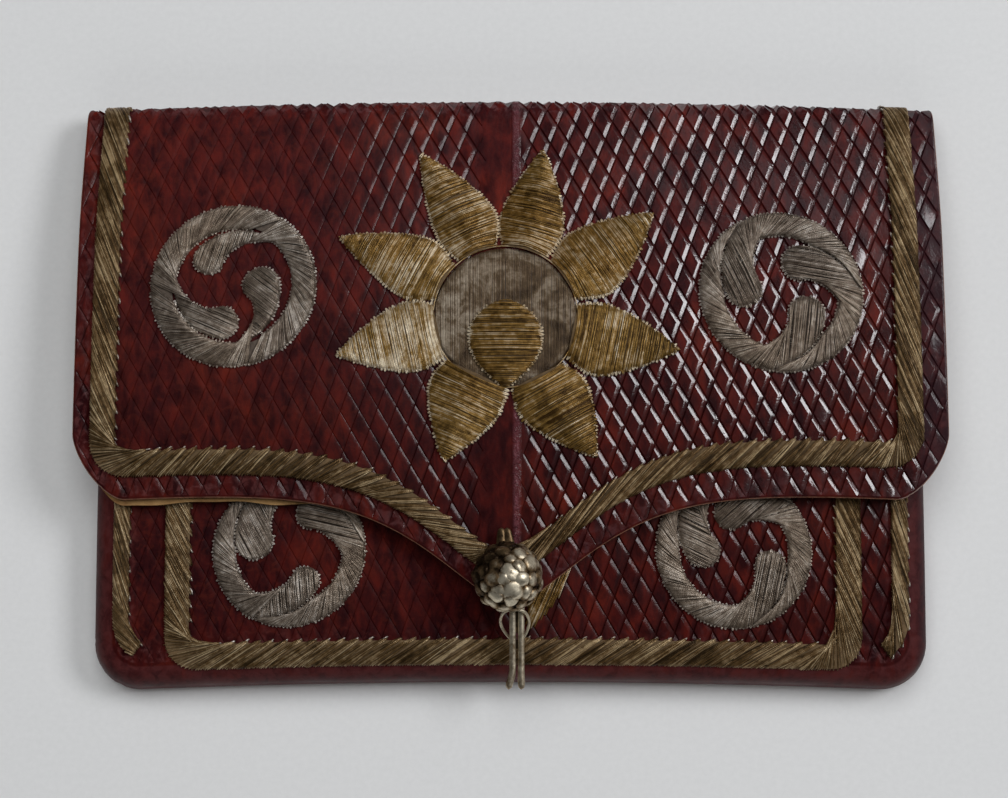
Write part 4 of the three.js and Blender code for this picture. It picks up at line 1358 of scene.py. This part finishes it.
def make_flap_border():
    left = flap_border_side(-1, 3.4, 4.3)
    right = flap_border_side(1, 5.0, 6.0)
    outer, inner = (np.concatenate([a, b[::-1][1:]]) for a, b in zip(left, right))
    outer, inner, length = even_rails(outer, inner)
    threads = sheaf_threads(outer, inner, length, FLAP_SLANTS, on_cover, 400, crown=fold_crown)
    padding = card_between(outer, inner, on_cover, 0.55 * fold_crown(outer))
    return make_piece("flap_border_threads", [*threads, padding], border_finishes,
                      ["flap_border"])


make_flap_border()


# %% Borders of the front panel
def front_border_rails():
    left, right, bottom, width, corner = -65.7, 66.6, -53.4, 4.8, 6.0
    a = np.linspace(0.0, math.pi / 2, 24)
    down = np.linspace(-8.0, bottom + corner, 120)
    across = np.linspace(left + corner, right - corner, 300)
    rails = []
    for inward in (0.0, width):
        reach = corner - inward
        side_left = pairs(left + inward, down)
        bend_left = pairs(left + corner - reach * np.cos(a), bottom + corner - reach * np.sin(a))
        base = pairs(across, bottom + inward)
        bend_right = pairs(right - corner + reach * np.cos(a), bottom + corner - reach * np.sin(a))
        bend_right = bend_right[::-1]
        side_right = pairs(right - inward, down)[::-1]
        rails.append(np.concatenate([side_left, bend_left[1:], base[1:], bend_right[1:], side_right[1:]]))
    return rails


def make_front_border():
    outer, inner, length = even_rails(*front_border_rails())
    threads = sheaf_threads(outer, inner, length, FRONT_SLANTS, on_front, 420)
    padding = card_between(outer, inner, on_front, PADDED_TOP - 0.25)
    return make_piece("front_border_threads", [*threads, padding], border_finishes,
                      ["front_border"])


make_front_border()


# %% Edge borders of the front panel
def on_rolled_front(x, y, height):
    place = on_front(x, y, height)
    nearest = np.minimum(FRONT_HALF_WIDTH - np.abs(x), np.asarray(y) - BODY_BOTTOM)
    into = np.clip(ROLL - nearest, 0.0, ROLL)
    place[..., 2] -= (ROLL - np.sqrt(ROLL ** 2 - into ** 2)) * MM
    return place


def edge_border_rails(side):
    reach_x, width, corner = 75.6, 3.1, 9.0
    bottom = BODY_BOTTOM + 3.9
    down = np.linspace(-8.0, bottom + corner, 120)
    a = np.linspace(0.0, math.acos((72.0 - reach_x + corner) / corner), 30)[1:]
    rails = []
    for inward in (0.0, width):
        limb = pairs(reach_x - inward, down)
        r = corner - inward
        bend = pairs(reach_x - corner + r * np.cos(a), bottom + corner - r * np.sin(a))
        rails.append(np.concatenate([limb, bend]) * (side, 1.0))
    return rails


def make_edge_border(side, name, seed):
    outer, inner, length = even_rails(*edge_border_rails(side)[::-side])
    threads = sheaf_threads(outer, inner, length, EDGE_SLANTS, on_rolled_front, seed, fan=6)
    padding = card_between(*(outer, inner)[::-side], on_rolled_front, PADDED_TOP - 0.3)
    return make_piece(f"{name}_threads", [*threads, padding], border_finishes, [name])


make_edge_border(-1, "front_edge_border_left", 440)
make_edge_border(1, "front_edge_border_right", 450)

# %% [markdown]
# Beside the button the end of a thread leaf shows below the flap's tip. Its threads run along it, steeply up
# to the right, and its lower edge is stepped where they end.

# %% Leaf beside the clasp
def make_leaf():
    turn = math.radians(66)
    aside = np.arange(-2.7, 2.8, 0.24)
    foot = 17.0 * 0.6 * (2 / math.pi) * np.arcsin(np.clip((np.abs(aside) - 0.4) / 2.5, 0.0, 1.0))
    foot = np.repeat(foot[::2], 2)[:len(aside)]
    def place_at(along):
        x = 3.6 + along * math.cos(turn) - aside * math.sin(turn)
        y = -46.4 + along * math.sin(turn) + aside * math.cos(turn)
        return pairs(x, y)
    low, high = place_at(foot), place_at(np.full_like(aside, 17.0))
    threads = row_of_threads(low, high, on_front, PADDED_TOP, 0.14, 470, fringe=0.35, tone=0.5)
    padding = card_between(low, high, on_front, PADDED_TOP - 0.3)
    return make_piece("leaf_threads", [threads, padding], [gold, card], ["front_leaf"])


make_leaf()

# %% [markdown]
# The button is a dome crusted with small round grains, dark in the hollows and rubbed bright on top; the
# grains on the upper left are painted darker as shade. Each grain is a slightly uneven ball set on rings
# round the dome.

# %% Clasp finish
def worn_metal():
    finish, tree, shader, where = new_finish("worn_clasp_metal")
    stain = noise(tree, where, 700.0, 5.0, 0.65)
    # This mark holds both the wear on the grains' tops and the painted shade on the upper left grains.
    wear_and_shade = spread(tree, mark(tree, "rub"), 0.0, 1.0, -0.35, 0.35)
    level = sum_of(tree, stain, wear_and_shade)
    metal = ramp(tree, level, [(0.2, (0.030, 0.017, 0.008)), (0.52, (0.23, 0.15, 0.075)),
                               (0.85, (0.80, 0.71, 0.54))])
    tree.links.new(metal, shader.inputs["Base Color"])
    shader.inputs["Metallic"].default_value = 0.85
    tree.links.new(spread(tree, stain, 0.3, 0.7, 0.34, 0.5), shader.inputs["Roughness"])
    pits = noise(tree, where, 2400.0, 4.0, 0.6)
    raise_bump(tree, shader, [(pits, 0.3, 0.00012)])
    return finish


clasp_metal = worn_metal()
print("clasp finish with", len(clasp_metal.node_tree.nodes), "nodes")


# %% Button
BUTTON = np.array([-0.6, -37.5, 20.2])
BUTTON_RADIUS = 6.6
BUTTON_CROWN = 25.8
GRAIN_RINGS = [(9.0, 2, 1.9), (30.0, 7, 1.85), (52.0, 10, 1.8), (73.0, 12, 1.7), (93.0, 13, 1.5),
               (112.0, 11, 1.35)]


def ball_mesh(level=3):
    mesh = bpy.data.meshes.new("ball")
    shell = bmesh.new()
    bmesh.ops.create_icosphere(shell, subdivisions=level, radius=1.0)
    shell.to_mesh(mesh)
    shell.free()
    points = np.array([vertex.co[:] for vertex in mesh.vertices])
    faces = [list(polygon.vertices) for polygon in mesh.polygons]
    bpy.data.meshes.remove(mesh)
    return points, faces


BALL, BALL_FACES = ball_mesh()


def metal_shape(points, faces, rub):
    shifted = points + np.array([0.0, FRAME_SHIFT, 0.0])
    return {"points": shifted * MM, "faces": faces, "marks": {"rub": rub}}


def grain_at(direction, size, draw):
    reach = np.array([BUTTON_RADIUS, BUTTON_RADIUS, BUTTON_CROWN - BUTTON[2]]) - 0.62 * size
    centre = BUTTON + direction * reach
    lumps = 1.0 + 0.09 * np.sin(BALL @ draw.normal(0, 2.4, 3) + draw.uniform(0, 6))
    lumps = lumps + 0.05 * np.sin(BALL @ draw.normal(0, 5.0, 3) + draw.uniform(0, 6))
    lumps = lumps + draw.uniform(-0.12, 0.08)
    stretch = draw.uniform(0.85, 1.12, 3)
    flattened = BALL - 0.32 * direction * (BALL @ direction)[:, None]
    points = centre + flattened * stretch * (size * lumps)[:, None]
    facing = np.clip(BALL @ direction, -1.0, 1.0)
    # Painted shade: grains towards the upper left are darker.
    painted_shade_upper_left = 0.7 * max(0.0, 0.55 * direction[1] - 0.85 * direction[0])
    rub = np.clip(0.1 + 0.85 * facing - painted_shade_upper_left + draw.normal(0, 0.12), 0.0, 1.0)
    return metal_shape(points, BALL_FACES, rub)


def button_grains():
    draw = np.random.default_rng(500)
    shapes = []
    for polar, count, size in GRAIN_RINGS:
        offset = draw.uniform(0, 2 * math.pi)
        for step in range(count):
            around = offset + 2 * math.pi * (step + draw.uniform(-0.12, 0.12)) / count
            down = math.radians(polar + draw.uniform(-3, 3))
            direction = np.array([*math.sin(down) * pointing(around), math.cos(down)])
            shapes.append(grain_at(direction, size * draw.uniform(0.85, 1.1), draw))
    return shapes


# %% Wires and bars of the clasp
def wire(path, radius, sides=10, closed=False, rub=0.6, flatten=1.0):
    path = np.asarray(path, float)
    along = unit(np.roll(path, -1, 0) - np.roll(path, 1, 0)) if closed else unit(np.gradient(path, axis=0))
    guide = np.array([1.0, 0.0, 0.0]) if not closed else np.array([0.0, 0.8, 0.6])
    aside = unit(np.cross(along, guide))
    above = np.cross(aside, along)
    turns = np.linspace(0.0, 2 * math.pi, sides, endpoint=False)
    radius = np.broadcast_to(radius, len(path))
    ring = np.cos(turns)[:, None] * aside[:, None] * flatten + np.sin(turns)[:, None] * above[:, None]
    points = path[:, None] + ring * radius[:, None, None]
    faces = tube_faces(1, len(path), sides)
    last = (len(path) - 1) * sides
    if closed:
        beside = [(side + 1) % sides for side in range(sides)]
        faces += [[last + side, side, beside[side], last + beside[side]] for side in range(sides)]
    else:
        faces += [list(range(sides)), list(range(last, last + sides))[::-1]]
    return metal_shape(points.reshape(-1, 3), faces, np.repeat(np.broadcast_to(rub, len(path)), sides))


def bead_ends(path, radius):
    share = np.linspace(0.0, 1.0, len(path))
    ends = np.minimum(share, 1.0 - share) * len(path) / 3.0
    return radius * np.sqrt(np.clip(1.0 - (1.0 - np.minimum(ends, 1.0)) ** 2, 0.02, 1.0))


def make_button():
    shapes = button_grains()
    core = BUTTON + BALL * np.array([6.0, 6.0, 5.0])
    core[:, 2] = np.maximum(core[:, 2], 17.8)
    shapes.append(metal_shape(core, BALL_FACES, np.full(len(BALL), 0.15)))
    for low, high in ((-1.85, -1.75), (0.15, -0.75)):
        y = np.linspace(-33.5, -28.2, 22)
        share = np.linspace(0.0, 1.0, 22)
        path = np.stack([mix(low, high, share), y, 18.4 + 0.02 * (y + 31) ** 2], -1)
        blade = 0.5 + 0.45 * np.sin(math.pi * np.clip(0.3 + 0.6 * share, 0.0, 1.0))
        shapes.append(wire(path, bead_ends(path, blade), 12, rub=0.4, flatten=0.55))
    return make_piece("clasp_button_grains", shapes, [clasp_metal], ["clasp_button"])


make_button()


# %% Pin and loop
def leg_path(x, flare, top=-38.2, end=-58.2, sink=0.0):
    y = np.linspace(top, end, 60)
    z = 17.0 + (17.0 - 13.3) * (y + 38.2) / 20.0 - sink
    return np.stack([x + flare * ease(-y, 54.5, 58.2), y, z], -1)


def make_pin():
    shapes = []
    for x, flare in ((0.35, -0.75), (1.95, 0.05)):
        path = leg_path(x, flare)
        thick = mix(0.62, 0.68, ease(-path[:, 1], 52.0, 57.5))
        rub = mix(0.92, 0.66, ease(-path[:, 1], 46.0, 51.0))
        shapes.append(wire(path, bead_ends(path, thick), 12, rub=rub, flatten=0.85))
    for top, end in ((-38.6, -47.6), (-48.9, -50.6)):
        shapes.append(wire(leg_path(1.15, 0.0, top, end, 0.15), 0.4, 8, rub=0.2, flatten=0.6))
    return make_piece("clasp_pin_legs", shapes, [clasp_metal], ["clasp_pin"])


LOOP_ROUTE = np.array([(1.1, -49.2, 12.9), (2.3, -48.5, 13.0), (3.2, -46.9, 14.1), (3.45, -45.4, 15.4),
                       (2.6, -43.9, 17.1), (0.7, -43.4, 17.7), (-1.2, -43.9, 17.1), (-1.95, -45.4, 15.4),
                       (-1.5, -46.9, 14.1), (-0.2, -48.5, 13.0)])


def smooth_loop(knots, steps):
    before, after, beyond = (np.roll(knots, shift, 0) for shift in (1, -1, -2))
    t = np.linspace(0.0, 1.0, steps, endpoint=False)[None, :, None]
    a, b, c, d = (part[:, None] for part in (before, knots, after, beyond))
    curve = b + 0.5 * t * (c - a + t * (2 * a - 5 * b + 4 * c - d + t * (3 * (b - c) + d - a)))
    return curve.reshape(-1, 3)


def make_loop():
    ring = wire(smooth_loop(LOOP_ROUTE, 10), 0.3, 10, closed=True, rub=0.9)
    return make_piece("clasp_loop_wire", [ring], [clasp_metal], ["clasp_loop"])


make_pin()
make_loop()
